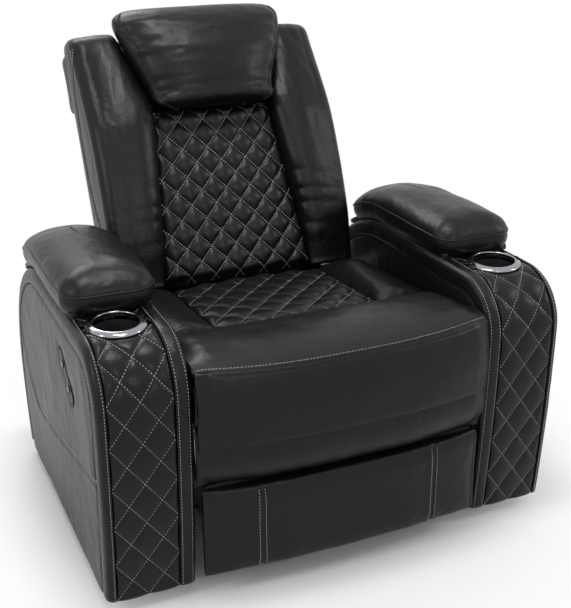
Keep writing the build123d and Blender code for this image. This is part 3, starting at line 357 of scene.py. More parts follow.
@dataclass
class Finishes:
    """Every finish of the chair, built once."""

    leather: bpy.types.Material = field(init=False)
    quilted: bpy.types.Material = field(init=False)
    thread: bpy.types.Material = field(init=False)
    by_slot: Dict[str, bpy.types.Material] = field(init=False)

    def __post_init__(self) -> None:
        """Builds the finishes."""
        self.leather = LeatherFinish("upholstery").material()
        self.quilted = LeatherFinish("quilted_upholstery", crease_depth=0.0011, polish=0.33).material()
        self.thread = ThreadFinish("grey_thread").material()
        self.by_slot = {
            "upholstery": self.leather,
            "quilted_upholstery": self.quilted,
            "dust_cloth": WebFinish("dust_cloth", (0.02, 0.02, 0.021), 700.0).material(),
            "board": WoodFinish("board").material(),
            "webbing": WebFinish("webbing", (0.42, 0.34, 0.22)).material(),
            "black_steel": CoatFinish("black_steel", (0.012, 0.012, 0.013), 0.42).material(),
            "zinc_steel": MetalFinish("zinc_steel", (0.62, 0.62, 0.60), 0.30, 0.2).material(),
            "chrome_trim": MetalFinish("chrome_trim", (0.34, 0.34, 0.36), 0.09, 0.10).material(),
            "black_plastic": CoatFinish("black_plastic", (0.006, 0.006, 0.006), 0.46).material(),
            "gloss_button": CoatFinish("gloss_button", (0.02, 0.02, 0.022), 0.22, 300.0, 0.00002).material(),
            "floor_rubber": CoatFinish("floor_rubber", (0.02, 0.02, 0.02), 0.8, 500.0, 0.0003).material(),
        }


# ---------------------------------------------------------------- mesh helpers


def object_of(name: str, bm: bmesh.types.BMesh) -> bpy.types.Object:
    """Makes an object of a bmesh, which is freed."""
    mesh = bpy.data.meshes.new(name)
    bm.to_mesh(mesh)
    bm.free()
    made = bpy.data.objects.new(name, mesh)
    bpy.context.scene.collection.objects.link(made)
    return made


def bmesh_of(piece: bpy.types.Object) -> bmesh.types.BMesh:
    """A bmesh with an object's faces."""
    bm = bmesh.new()
    bm.from_mesh(piece.data)
    return bm


def settle(piece: bpy.types.Object) -> None:
    """Turns what an object's modifiers make of it into its own mesh."""
    evaluated = piece.evaluated_get(bpy.context.evaluated_depsgraph_get())
    mesh = bpy.data.meshes.new_from_object(evaluated)
    piece.modifiers.clear()
    piece.data = mesh


def grid_surface(columns: Sequence[float], rows: Sequence[float], place: Place) -> bmesh.types.BMesh:
    """A grid of faces whose corners are moved to a curved surface.

    Args:
        columns: Values across the surface.
        rows: Values along the surface.
        place: Gives the point of a pair of values.

    Returns:
        The new bmesh.
    """
    bm = bmesh.new()
    across, along = len(columns) - 1, len(rows) - 1
    bmesh.ops.create_grid(bm, x_segments=across, y_segments=along, size=0.5)
    for vert in bm.verts:
        i = round((vert.co.x + 0.5) * across)
        j = round((vert.co.y + 0.5) * along)
        vert.co = place(columns[i], rows[j])
    return bm


def boundary(bm: bmesh.types.BMesh) -> List[bmesh.types.BMEdge]:
    """The open edges of a mesh."""
    return [edge for edge in bm.edges if edge.is_boundary]


def close_up(bm: bmesh.types.BMesh) -> None:
    """Welds touching edges, fills the open ends and turns the faces outwards."""
    bmesh.ops.remove_doubles(bm, verts=bm.verts, dist=CONTACT)
    bmesh.ops.holes_fill(bm, edges=boundary(bm), sides=0)
    bmesh.ops.recalc_face_normals(bm, faces=bm.faces)


def close_down(bm: bmesh.types.BMesh, under: Callable[[Vector], Vector]) -> None:
    """Draws the open rim of a face down to a cushion's underside and closes it.

    Args:
        bm: The open face.
        under: Gives the place on the underside below a rim point.
    """
    made = bmesh.ops.extrude_edge_only(bm, edges=boundary(bm))["geom"]
    for vert in (item for item in made if isinstance(item, bmesh.types.BMVert)):
        vert.co = under(vert.co)
    bmesh.ops.holes_fill(bm, edges=boundary(bm), sides=0)
    bmesh.ops.recalc_face_normals(bm, faces=bm.faces)


def lofted(rows: Sequence[float], loop: Callable[[float], List[Vector]]) -> bmesh.types.BMesh:
    """A closed skin through closed loops of points, with both ends filled.

    Args:
        rows: The loops' places, in order.
        loop: Gives the points of the loop at a place, as many each time.

    Returns:
        The new bmesh, with its faces outwards.
    """
    loops = [loop(row) for row in rows]
    count = len(loops[0])
    bm = grid_surface(list(range(count + 1)), list(range(len(rows))),
                      lambda index, row: loops[int(row)][int(index) % count])
    close_up(bm)
    return bm


def between(table: Sequence[Sequence[float]], key: float, column: int) -> float:
    """A value between the rows of a table, on a smooth curve through them."""
    if key <= table[0][0]:
        return table[0][column]
    if key >= table[-1][0]:
        return table[-1][column]
    index = max(i for i in range(len(table) - 1) if table[i][0] <= key)
    x0, x1 = table[index][0], table[index + 1][0]
    y0, y1 = table[index][column], table[index + 1][column]

    def slope(at_row: int) -> float:
        """The curve's slope at a row."""
        low, high = table[max(0, at_row - 1)], table[min(len(table) - 1, at_row + 1)]
        return (high[column] - low[column]) / (high[0] - low[0])

    step, t = x1 - x0, (key - x0) / (x1 - x0)
    m0, m1 = slope(index) * step, slope(index + 1) * step
    return ((2 * t ** 3 - 3 * t ** 2 + 1) * y0 + (t ** 3 - 2 * t ** 2 + t) * m0
            + (3 * t ** 2 - 2 * t ** 3) * y1 + (t ** 3 - t ** 2) * m1)


def tube(points: Sequence[Vector], radius: float, closed: bool = False, sides: int = 8) -> bmesh.types.BMesh:
    """A round cord along a line of points, with its radius in metres."""
    count = len(points)
    frames = []
    last_side = None
    for index, point in enumerate(points):
        if closed:
            ahead, behind = points[(index + 1) % count], points[index - 1]
        else:
            ahead, behind = points[min(index + 1, count - 1)], points[max(index - 1, 0)]
        along = (ahead - behind).normalized()
        guess = last_side or (Vector((0, 0, 1)) if abs(along.z) < 0.9 else Vector((1, 0, 0)))
        side = (guess - along * guess.dot(along)).normalized()
        last_side = side
        frames.append((point, side, along.cross(side)))
    if closed:
        frames.append(frames[0])

    def place(turn: float, step: float) -> Vector:
        """A point on the cord's skin."""
        point, side, other = frames[int(step)]
        return point + (side * math.cos(turn) + other * math.sin(turn)) * radius

    turns = [2 * math.pi * index / sides for index in range(sides + 1)]
    bm = grid_surface(turns, list(range(len(frames))), place)
    close_up(bm)
    return bm


@dataclass
class Workshop:
    """Turns meshes into finished pieces and keeps count of them."""

    finishes: Finishes
    made: int = 0

    def piece(self, name: str, bm: bmesh.types.BMesh, slot: str, body: str, nodes: Sequence[str] = (),
              fill: Optional[float] = None, material: Optional[bpy.types.Material] = None,
              solid: float = 0.0) -> bpy.types.Object:
        """Makes an object of a bmesh, dresses it and puts it on its body.

        Args:
            name: The piece's name.
            bm: Its mesh, which is freed.
            slot: The record's material slot.
            body: The body it rides on, or nothing for a piece that is not put on a body.
            nodes: The solids it stands for.
            fill: Not used.
            material: A finish other than the slot's own.
            solid: A thickness to give an open face, inwards.

        Returns:
            The new object.
        """
        piece = object_of(name, bm)
        if solid:
            wall = piece.modifiers.new("wall", "SOLIDIFY")
            wall.thickness, wall.offset = solid, -1.0
            bpy.context.view_layer.update()
            settle(piece)
        for polygon in piece.data.polygons:
            polygon.use_smooth = True
        piece.data.materials.clear()
        piece.data.materials.append(material or self.finishes.by_slot[slot])
        if body:
            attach(piece, body)
        if nodes:
            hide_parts(*nodes)
        self.made += 1
        LOG.info("%s: %d faces on %s", name, len(piece.data.polygons), body or "two bodies")
        return piece


# ---------------------------------------------------------------- stitching


@dataclass(frozen=True)
class Skin:
    """The surface of a finished piece, to lay seams and stitches on."""

    tree: BVHTree

    @classmethod
    def of(cls, piece: bpy.types.Object) -> "Skin":
        """Reads a piece's faces."""
        bm = bmesh_of(piece)
        tree = BVHTree.FromBMesh(bm)
        bm.free()
        return cls(tree)

    def near(self, point: Vector) -> Tuple[Vector, Vector]:
        """The nearest skin point and its normal."""
        place, normal, _, _ = self.tree.find_nearest(point)
        return place, normal

    def below(self, point: Vector, way: Vector) -> Optional[Tuple[Vector, Vector]]:
        """The skin point that a line meets first, with its normal."""
        place, normal, _, _ = self.tree.ray_cast(point, way)
        return None if place is None else (place, normal)


@dataclass
class Stitching:
    """Rows of thread stitches, gathered in one mesh."""

    name: str
    body: str
    pitch: float = 6.6
    length: float = 4.6
    thread: float = 0.66
    bm: bmesh.types.BMesh = field(default_factory=bmesh.new)
    count: int = 0

    def row(self, track: Sequence[Tuple[Vector, Vector]]) -> None:
        """Sews one row.

        Args:
            track: Close points of the row, each with the surface's normal.
        """
        pitch, run = self.pitch * MM, 0.0
        want = pitch * 0.5
        for (here, normal), (there, normal_end) in zip(track, track[1:]):
            step = (there - here).length
            if step < 1e-7:
                continue
            along = (there - here) / step
            while run + step >= want:
                part = (want - run) / step
                out = normal.lerp(normal_end, part).normalized()
                side = out.cross(along)
                if side.length > 0.2:
                    side.normalize()
                    out = along.cross(side)
                    turn = Matrix((along, side, out)).transposed().to_4x4()
                    middle = here.lerp(there, part) + out * (self.thread * MM * 0.25)
                    size = Matrix.Diagonal((self.length * MM / 2, self.thread * MM, self.thread * MM, 1))
                    bmesh.ops.create_icosphere(self.bm, subdivisions=1, radius=1.0,
                                               matrix=Matrix.Translation(middle) @ turn @ size)
                    self.count += 1
                want += pitch
            run += step

    def on(self, skin: Skin, guide: Sequence[Vector], step: float = 3.0) -> None:
        """Sews a row along a guide line that is laid on the nearest skin."""
        track = []
        for first, last in zip(guide, guide[1:]):
            for part in spaced(0.0, 1.0, step * MM / max(1e-6, (last - first).length))[:-1]:
                track.append(skin.near(first.lerp(last, part)))
        track.append(skin.near(guide[-1]))
        self.row(track)

    def finish(self, shop: Workshop, slot: str = "upholstery") -> None:
        """Makes the piece."""
        if self.count:
            shop.piece(self.name, self.bm, slot, self.body, material=shop.finishes.thread)


# ---------------------------------------------------------------- soft bodies


@dataclass
class Stuffing:
    """Swells a plain solid into a stuffed form with cloth that is under pressure."""

    coarse: float = 7.0
    fine: float = 4.0
    pressure: float = 4.0
    cap: float = 14.0
    frames: int = 20
    mass: float = 0.25
    stiffness: float = 12.0
    bending: float = 0.8
    rounds: int = 3

    def form(self, node: str, room: Room) -> bpy.types.Object:
        """Makes the stuffed form of a solid.

        Args:
            node: The solid's name.
            room: The lowest and highest corner that it may reach.

        Returns:
            An object with a closed, even mesh.
        """
        bm = bmesh_of(frame["nodes"][node])
        bmesh.ops.remove_doubles(bm, verts=bm.verts, dist=0.00005)
        piece = object_of(node + "_form", bm)
        self._remesh(piece, self.coarse)
        self._inflate(piece, room)
        self._remesh(piece, self.fine)
        self._relax(piece, room)
        return piece

    def _remesh(self, piece: bpy.types.Object, size: float) -> None:
        """Gives the piece even faces."""
        even = piece.modifiers.new("even", "REMESH")
        even.mode, even.voxel_size = "VOXEL", size * MM
        bpy.context.view_layer.update()
        settle(piece)

    def _inflate(self, piece: bpy.types.Object, room: Room) -> None:
        """Runs the cloth and keeps what it does within the cap and the room."""
        scene = bpy.context.scene
        before = [vert.co.copy() for vert in piece.data.vertices]
        cloth = piece.modifiers.new("stuffing", "CLOTH")
        rules = cloth.settings
        rules.quality = 4
        rules.mass = self.mass
        rules.tension_stiffness = rules.compression_stiffness = rules.shear_stiffness = self.stiffness
        rules.bending_stiffness = self.bending
        rules.use_pressure = True
        rules.uniform_pressure_force = self.pressure
        rules.effector_weights.gravity = 0.0
        cloth.collision_settings.use_self_collision = False
        cloth.collision_settings.use_collision = False
        cloth.point_cache.frame_start, cloth.point_cache.frame_end = 1, self.frames
        for step in range(1, self.frames + 1):
            scene.frame_set(step)
        settle(piece)
        scene.frame_set(1)
        cap = self.cap * MM
        for vert, old in zip(piece.data.vertices, before):
            move = vert.co - old
            if move.length > cap:
                vert.co = old + move.normalized() * cap
        self._keep(piece, room)

    def _keep(self, piece: bpy.types.Object, room: Room) -> None:
        """Keeps every point within the room."""
        low, high = room
        for vert in piece.data.vertices:
            for axis in range(3):
                vert.co[axis] = min(max(vert.co[axis], low[axis]), high[axis])

    def _relax(self, piece: bpy.types.Object, room: Room) -> None:
        """Softens the steps that even faces leave."""
        bm = bmesh_of(piece)
        for _ in range(self.rounds):
            bmesh.ops.smooth_vert(bm, verts=bm.verts, factor=0.5, use_axis_x=True, use_axis_y=True,
                                  use_axis_z=True)
        bm.to_mesh(piece.data)
        bm.free()
        self._keep(piece, room)


def node_room(node: str, more: Tuple[float, float, float, float, float, float]) -> Room:
    """A solid's box with millimetres added to its low and high sides."""
    low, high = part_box(node)
    return (low - Vector(more[:3]) * MM, high + Vector(more[3:]) * MM)


def mirrored(piece: bpy.types.Object) -> bpy.types.Object:
    """A copy of a form for the chair's other side."""
    bm = bmesh_of(piece)
    bmesh.ops.scale(bm, vec=(-1, 1, 1), verts=bm.verts)
    bmesh.ops.reverse_faces(bm, faces=bm.faces)
    return object_of(piece.name + "_mirrored", bm)


def raise_skin(piece: bpy.types.Object, relief: Callable[[Vector, Vector], float]) -> bmesh.types.BMesh:
    """Moves each point of a form along its normal, and takes the form apart.

    Args:
        piece: The form, which is removed.
        relief: Gives millimetres outwards for a drawing point and its normal.

    Returns:
        The moved mesh.
    """
    bm = bmesh_of(piece)
    bm.normal_update()
    moves = [vert.normal * (relief(drawn(vert.co), vert.normal) * MM) for vert in bm.verts]
    for vert, move in zip(bm.verts, moves):
        vert.co += move
    bpy.data.objects.remove(piece)
    return bm


def ripple(x: float, y: float, z: float, size: float, seed: float = 0.0) -> float:
    """Smooth unevenness from -1 to 1 at a drawing point, of a size in millimetres."""
    return noise.noise(Vector((x / size + seed, y / size + seed * 0.7, z / size - seed)))


# ---------------------------------------------------------------- quilting


@dataclass(frozen=True)
class QuiltPattern:
    """Diamonds between two families of sloping seams, in millimetres across and along."""

    wide: float
    tall: float
    start: float = 0.0
    centre: float = 0.0
    depth: float = 6.0
    spread: float = 7.0
    rim: float = 5.0
    cells: int = 10
    easing: float = 0.55

    def fabric(self, low: float, high: float, half: float) -> bmesh.types.BMesh:
        """A flat face of diamonds that covers a strip, with its mesh lines on the seams."""
        reach = half / self.wide + 1
        first = math.floor((low - self.start) / self.tall - reach)
        last = math.ceil((high - self.start) / self.tall + reach)
        ticks = [first + self._ease(index / self.cells) for index in range((last - first) * self.cells + 1)]
        falls = [-value for value in reversed(ticks)]

        def place(u: float, v: float) -> Vector:
            """The flat place of a pair of diamond coordinates."""
            return Vector((self.centre + self.wide * (u + v) / 2, self.start + self.tall * (u - v) / 2, 0))

        return grid_surface(ticks, falls, place)

    def _ease(self, value: float) -> float:
        """Draws mesh lines together near the seams."""
        return value - self.easing * math.sin(2 * math.pi * value) / (2 * math.pi)

    def trim(self, bm: bmesh.types.BMesh, edges: Sequence[Tuple[Vector, Vector]]) -> None:
        """Cuts the flat face along straight edges, each a point and a normal that points off the quilt."""
        for point, normal in edges:
            bmesh.ops.bisect_plane(bm, geom=[*bm.verts, *bm.edges, *bm.faces], dist=0.01, plane_co=point,
                                   plane_no=normal, clear_outer=True, clear_inner=False)
        bmesh.ops.remove_doubles(bm, verts=bm.verts, dist=0.15)

    def cut_out(self, low: float, high: float, half: float) -> bmesh.types.BMesh:
        """A flat rectangle of diamonds."""
        bm = self.fabric(low, high, half)
        self.trim(bm, [(Vector((half, 0, 0)), Vector((1, 0, 0))), (Vector((-half, 0, 0)), Vector((-1, 0, 0))),
                       (Vector((0, low, 0)), Vector((0, -1, 0))), (Vector((0, high, 0)), Vector((0, 1, 0)))])
        return bm

    def height(self, across: float, along: float, rim: float) -> float:
        """The stuffing's height over the seams, with rim the distance to the nearest edge."""
        gradient = math.hypot(1 / self.wide, 1 / self.tall)
        level = 1.0
        for slope in (1, -1):
            value = (across - self.centre) / self.wide + slope * (along - self.start) / self.tall
            distance = abs(value - round(value)) / gradient
            level *= 1 - math.exp(-distance / self.spread)
        return self.depth * level * (1 - math.exp(-max(0.0, rim) / self.rim))

    def seams(self, low: float, high: float, half: Callable[[float], float]) -> List[List[Tuple[float, float]]]:
        """The sloping seams inside a strip, each as close points of (across, along)."""
        tracks = []
        reach = max(half(low), half(high)) + abs(self.centre)
        first = math.floor((low - self.start - reach * self.tall / self.wide) / self.tall)
        last = math.ceil((high - self.start + reach * self.tall / self.wide) / self.tall)
        for slope in (1, -1):
            for index in range(first, last + 1):
                track: List[Tuple[float, float]] = []
                for across in spaced(-reach, reach, 2.0):
                    along = self.start + index * self.tall + slope * (across - self.centre) * self.tall / self.wide
                    if low + 1.5 <= along <= high - 1.5 and abs(across) <= half(along) - 1.5:
                        track.append((across, along))
                if len(track) > 5:
                    tracks.append(track)
        return tracks


# ---------------------------------------------------------------- arms


@dataclass(frozen=True)
class ArmLine:
    """The arm's side outline, from the front's bottom over the top and down the rear."""

    front_y: float = -484.0
    bottom_z: float = 30.0
    top_z: float = 545.0
    corner: float = 110.0
    front_bow: float = 3905.0
    shoulder_y: float = -16.0
    shoulder: float = 300.0
    rear_bow: float = 722.0

    @property
    def stretches(self) -> Tuple[float, float, float, float, float]:
        """The lengths of the front, the corner, the top, the shoulder and the rear."""
        front = self.front_bow * math.asin((self.top_z - self.corner - self.bottom_z) / self.front_bow)
        rear = self.rear_bow * math.asin((self.top_z - self.shoulder - self.bottom_z) / self.rear_bow)
        top = self.shoulder_y - self.front_y - self.corner
        return (front, self.corner * math.pi / 2, top, self.shoulder * math.pi / 2, rear)

    @property
    def length(self) -> float:
        """The whole outline, without the flat bottom."""
        return sum(self.stretches)

    def run_at(self, y: float) -> float:
        """The distance along the outline of a place on its flat top."""
        front, corner, _, _, _ = self.stretches
        return front + corner + (y - self.front_y - self.corner)

    def point(self, run: float, inset: float = 0.0) -> Tuple[float, float]:
        """The (y, z) of a place along the outline, drawn in by an inset."""
        front, corner, top, shoulder, _ = self.stretches
        if run < front:
            turn = (front - run) / self.front_bow
            r = self.front_bow - inset
            return (self.front_y + self.front_bow - r * math.cos(turn), self.top_z - self.corner - r * math.sin(turn))
        run -= front
        if run < corner:
            turn, r = run / self.corner, self.corner - inset
            return (self.front_y + self.corner - r * math.cos(turn), self.top_z - self.corner + r * math.sin(turn))
        run -= corner
        if run < top:
            return (self.front_y + self.corner + run, self.top_z - inset)
        run -= top
        if run < shoulder:
            turn, r = run / self.shoulder, self.shoulder - inset
            return (self.shoulder_y + r * math.sin(turn), self.top_z - self.shoulder + r * math.cos(turn))
        run -= shoulder
        turn, r = run / self.rear_bow, self.rear_bow - inset
        rear_y = self.shoulder_y + self.shoulder - self.rear_bow
        return (rear_y + r * math.cos(turn), self.top_z - self.shoulder - r * math.sin(turn))

    def outwards(self, run: float, inset: float) -> Vector:
        """The way out of the arm at a place along the outline."""
        y0, z0 = self.point(run, inset)
        y1, z1 = self.point(run, inset + 10)
        return Vector((0, y0 - y1, z0 - z1)).normalized()

    def row_ends(self, z: float, inset: float) -> Tuple[float, float]:
        """The front and rear y of the outline at a height."""
        corner_z, shoulder_z = self.top_z - self.corner, self.top_z - self.shoulder
        if z > corner_z:
            front = self.front_y + self.corner - math.sqrt(max(0.0, (self.corner - inset) ** 2 - (z - corner_z) ** 2))
        else:
            front = self.front_y + self.front_bow - math.sqrt((self.front_bow - inset) ** 2 - (corner_z - z) ** 2)
        if z > shoulder_z:
            rear = self.shoulder_y + math.sqrt(max(0.0, (self.shoulder - inset) ** 2 - (z - shoulder_z) ** 2))
        else:
            rear_y = self.shoulder_y + self.shoulder - self.rear_bow
            rear = rear_y + math.sqrt((self.rear_bow - inset) ** 2 - (shoulder_z - z) ** 2)
        return front, rear

    def depth(self, y: float, z: float) -> float:
        """How far a place lies inside the outline."""
        corner_z, shoulder_z = self.top_z - self.corner, self.top_z - self.shoulder
        depths = [self.top_z - z, 1e6]
        if z > corner_z and y < self.front_y + self.corner:
            depths.append(self.corner - math.hypot(y - self.front_y - self.corner, z - corner_z))
        else:
            front, _ = self.row_ends(z, 0.0)
            depths.append(y - front)
        if y > self.shoulder_y and z > shoulder_z:
            depths.append(self.shoulder - math.hypot(y - self.shoulder_y, z - shoulder_z))
        else:
            _, rear = self.row_ends(z, 0.0)
            depths.append(rear - y)
        return min(depths)


def segment_distance(point: Tuple[float, float], line: Section) -> float:
    """The distance from a flat point to a line of flat points."""
    best = 1e9
    px, py = point
    for (ax, ay), (bx, by) in zip(line, line[1:]):
        dx, dy = bx - ax, by - ay
        size = dx * dx + dy * dy
        part = 0.0 if size == 0 else min(1.0, max(0.0, ((px - ax) * dx + (py - ay) * dy) / size))
        best = min(best, math.hypot(px - ax - part * dx, py - ay - part * dy))
    return best


@dataclass(frozen=True)
class PadForm:
    """The arm pad's shape over the arm's top, in millimetres, by its distance along the arm.

    Each row of falls has a share of the pad's length, then the shares of width, seam height and crown there.
    """

    start: float = -301.5
    end: float = 137.0
    half: float = 93.5
    corner: float = 40.0
    base: float = 4.8
    seam: float = 42.5
    crown: float = 84.0
    fullness: float = 2.3
    falls: Tuple[Tuple[float, float, float, float], ...] = (
        (0.0, 0.93, 0.90, 0.94), (0.10, 0.98, 0.97, 1.00), (0.3, 1.0, 1.0, 1.02), (0.55, 0.99, 1.0, 1.00),
        (0.8, 0.96, 0.95, 0.88), (1.0, 0.90, 0.84, 0.68))

    def share(self, along: float, column: int) -> float:
        """A width, seam or crown share at a distance along the arm."""
        part = (along - self.start) / (self.end - self.start)
        for low, high in zip(self.falls, self.falls[1:]):
            if part <= high[0]:
                mix = max(0.0, (part - low[0]) / (high[0] - low[0]))
                mix = mix * mix * (3 - 2 * mix)
                return low[column] + (high[column] - low[column]) * mix
        return self.falls[-1][column]

    def rim(self, around: float, inward: float) -> Tuple[float, float]:
        """A point of the pad's rounded outline, drawn in: across and along."""
        long_half = (self.end - self.start) / 2
        a, b = self.half - inward, long_half - inward
        r = max(min(self.corner - inward * 0.35, a), 1.0)
        full = 2 * (2 * (self.half - self.corner) + 2 * (long_half - self.corner)) + 2 * math.pi * self.corner
        marks = [2 * (long_half - self.corner), self.corner * math.pi / 2, 2 * (self.half - self.corner),
                 self.corner * math.pi / 2] * 2
        run, index = around * full, 0
        while index < 7 and run > marks[index]:
            run -= marks[index]
            index += 1
        part = min(1.0, run / marks[index])
        x, y = a - r, b - r
        corners = [(x, y), (-x, y), (-x, -y), (x, -y)]
        if index % 2 == 0:
            first = corners[(index // 2 - 1) % 4]
            last = corners[index // 2]
            turn = index // 2 * math.pi / 2
            px = first[0] + (last[0] - first[0]) * part + r * math.cos(turn)
            py = first[1] + (last[1] - first[1]) * part + r * math.sin(turn)
        else:
            turn = (index // 2 + part) * math.pi / 2
            px, py = corners[index // 2][0] + r * math.cos(turn), corners[index // 2][1] + r * math.sin(turn)
        along = (self.start + self.end) / 2 + py
        return px * self.share(along, 1), along

    def band_inset(self, ring: float) -> float:
        """How far the band lies inside the seam's outline."""
        return 7.0 * (1 - ring) ** 2.2 - 2.4 * math.sin(ring * math.pi)

    def band_height(self, ring: float, along: float) -> float:
        """The band's height over the arm's top."""
        return self.base + self.seam * self.share(along, 2) * ring

    def crown_height(self, inward: float, along: float) -> float:
        """The crown's height over the arm's top, some millimetres in from the seam."""
        low = self.seam * self.share(along, 2)
        rise = self.crown * self.share(along, 3) - low
        part = min(1.0, inward / (self.half - 2.0))
        return self.base + low + rise * (1 - (1 - part) ** self.fullness) ** 0.55


@dataclass
class Arm:
    """One arm: panels, borders, quilted insert, cup ring, rear cover and stuffed pad."""

    shop: Workshop
    side: Side
    line: ArmLine = field(default_factory=ArmLine)
    inner_x: float = 313.5
    outer_x: float = 491.5
    insert_x0: float = 347.0
    insert_x1: float = 473.0
    insert_sink: float = 1.6
    border: float = 34.0
    cup_y: float = -348.0
    cup_hole: float = 53.0
    ring_tilt: float = 3.0
    tray_front_y: float = -232.0
    tray_rear_y: float = 26.0
    panel_depth: float = 690.0
    pad_floor: float = 13.0
    welt_radius: float = 2.3
    slit_y: float = -249.0
    slit_z: float = 414.0
    slit_tilt: float = math.radians(43)
    slit_half: float = 44.0
    slit_depth: float = 14.0
    side_seam: Tuple[Tuple[float, float], ...] = (
        (207, 400), (208, 345), (203, 300), (182, 266), (150, 229), (118, 207), (81, 194), (20, 196),
        (-60, 208), (-130, 221), (-226, 239), (-314, 257), (-449, 283))

    @property
    def insert_middle(self) -> float:
        """The x of the quilted insert's middle."""
        return (self.insert_x1 + self.insert_x0) / 2

    @property
    def middle(self) -> float:
        """The x of the arm's middle."""
        return (self.inner_x + self.outer_x) / 2

    def at(self, x: float, y: float, z: float) -> Vector:
        """A drawing point of the right arm, on this arm."""
        return at(x * self.side.value, y, z)

    def part(self, name: str, bm: bmesh.types.BMesh, node: str = "", fill: Optional[float] = None,
             slot: str = "upholstery", body: str = "chassis", solid: float = 0.0) -> bpy.types.Object:
        """Makes a piece of this arm.

        Args:
            name: The piece's name without its side.
            bm: Its mesh.
            node: The solid that it stands for, without its side, or nothing.
            fill: How tight its stuffing is.
            slot: The record's material slot.
            body: The body it rides on.
            solid: A thickness to give an open face, inwards.

        Returns:
            The new object.
        """
        nodes = [self.side.name_for(node)] if node else []
        return self.shop.piece(self.side.name_for(name), bm, slot, body, nodes, fill, solid=solid)

    def build(self) -> None:
        """Makes the arm's pieces."""
        outer = self.outer_panel()
        self.inner_panel()
        self.bands()
        self.insert()
        self.rear_cover()
        self.cup_ring()
        self.pad()
        self.seams(outer)

    def panel_rows(self, inset: float, step: float) -> List[float]:
        """Heights for a side panel's rows, closer together where its top corners round off."""
        corner_z = self.line.top_z - self.line.corner
        rows = spaced(self.line.bottom_z, corner_z, step)
        r = self.line.corner - inset
        turns = spaced(0.0, math.pi / 2, step / r)
        return rows + [corner_z + r * math.sin(turn) for turn in turns[1:]]

    def slit(self, y: float, z: float) -> float:
        """How far the control slit and its pressed rim draw the outer side in."""
        dy, dz, turn = y - self.slit_y, z - self.slit_z, self.slit_tilt
        along = dy * math.cos(turn) + dz * math.sin(turn)
        off = -dy * math.sin(turn) + dz * math.cos(turn)
        ring = math.hypot(max(0.0, abs(along) - self.slit_half), off)
        return self.slit_depth * (1 - smooth(ring, 15.5, 19.5)) + 1.6 * math.exp(-((ring - 22) / 10) ** 2)

    def side_panel(self, step: float, rear_x: float,
                   face: Callable[[float, float, float], float]) -> bmesh.types.BMesh:
        """A padded panel inside the arm's borders.

        Args:
            step: The size of its faces.
            rear_x: The x of its flat rear.
            face: Gives the x of its face at a y and a z, some millimetres in from its edge.

        Returns:
            A closed mesh.
        """
        inset = self.border + 0.3

        def place(part: float, z: float) -> Vector:
            """A point of the panel's face."""
            front, rear = self.line.row_ends(z, inset)
            y = front + (rear - front) * part
            return self.at(face(y, z, self.line.depth(y, z) - inset), y, z)

        bm = grid_surface(spaced(0.0, 1.0, step / self.panel_depth), self.panel_rows(inset, step), place)
        close_down(bm, lambda co: Vector((self.side.value * rear_x * MM, co.y, co.z)))
        return bm

    def outer_panel(self) -> bpy.types.Object:
        """The padded outer side, with its seam, its soft folds and, on the left, the control slit."""

        def face(y: float, z: float, depth: float) -> float:
            """The x of the panel's face."""
            out = 2.2 * smooth(depth, 0, 14) * (1 - 0.35 * smooth(depth, 60, 160)) - 2.6 * (1 - smooth(depth, 0, 4))
            seam = segment_distance((y, z), self.side_seam)
            out -= 2.4 * math.exp(-(seam / 3.5) ** 2) - 0.9 * math.exp(-((seam - 10) / 7) ** 2)
            fold = y + 476 - 0.0014 * (z - 330) ** 2 * (1 if z > 330 else 0.15)
            out += 1.6 * math.exp(-((fold - 62) / 16) ** 2) * smooth(z, 230, 300) * smooth(520 - z, 0, 60)
            out += 0.9 * ripple(0, y, z, 46, 3.1) + 0.35 * ripple(0, y, z * 0.4, 17, 8.2)
            if self.side is Side.LEFT:
                out -= self.slit(y, z)
            return self.outer_x - 1.6 + out

        return self.part("outer_side_cover", self.side_panel(5.0, self.outer_x - 19.0, face), "arm_outer_panel", 0.35)

    def inner_panel(self) -> None:
        """The padded inner side, beside the seat."""

        def face(y: float, z: float, depth: float) -> float:
            """The x of the panel's face."""
            return self.inner_x + 0.8 + (2.4 * (1 - smooth(depth, 0, 8)) - 0.6 * ripple(9, y, z, 70, 5.0))

        self.part("inner_side_cover", self.side_panel(9.0, self.inner_x + 11.0, face), "arm_inner_panel", 0.3)

    def swept(self, section: Section, runs: Sequence[float],
              swell: Callable[[float, float, float], float]) -> bmesh.types.BMesh:
        """Sweeps a closed section of (x, inset) points along the arm's outline.

        Args:
            section: The section's points in order.
            runs: Places along the outline.
            swell: Millimetres to lift a face point, from its x, its inset and the run.

        Returns:
            A closed mesh.
        """
        loop = [*section, section[0]]

        def place(index: float, run: float) -> Vector:
            """A point of the swept skin."""
            x, inset = loop[int(index)]
            lift = swell(x, inset, run)
            y, z = self.line.point(run, inset - lift)
            return self.at(x, y, max(z, self.line.bottom_z))

        bm = grid_surface(list(range(len(loop))), runs, place)
        close_up(bm)
        return bm

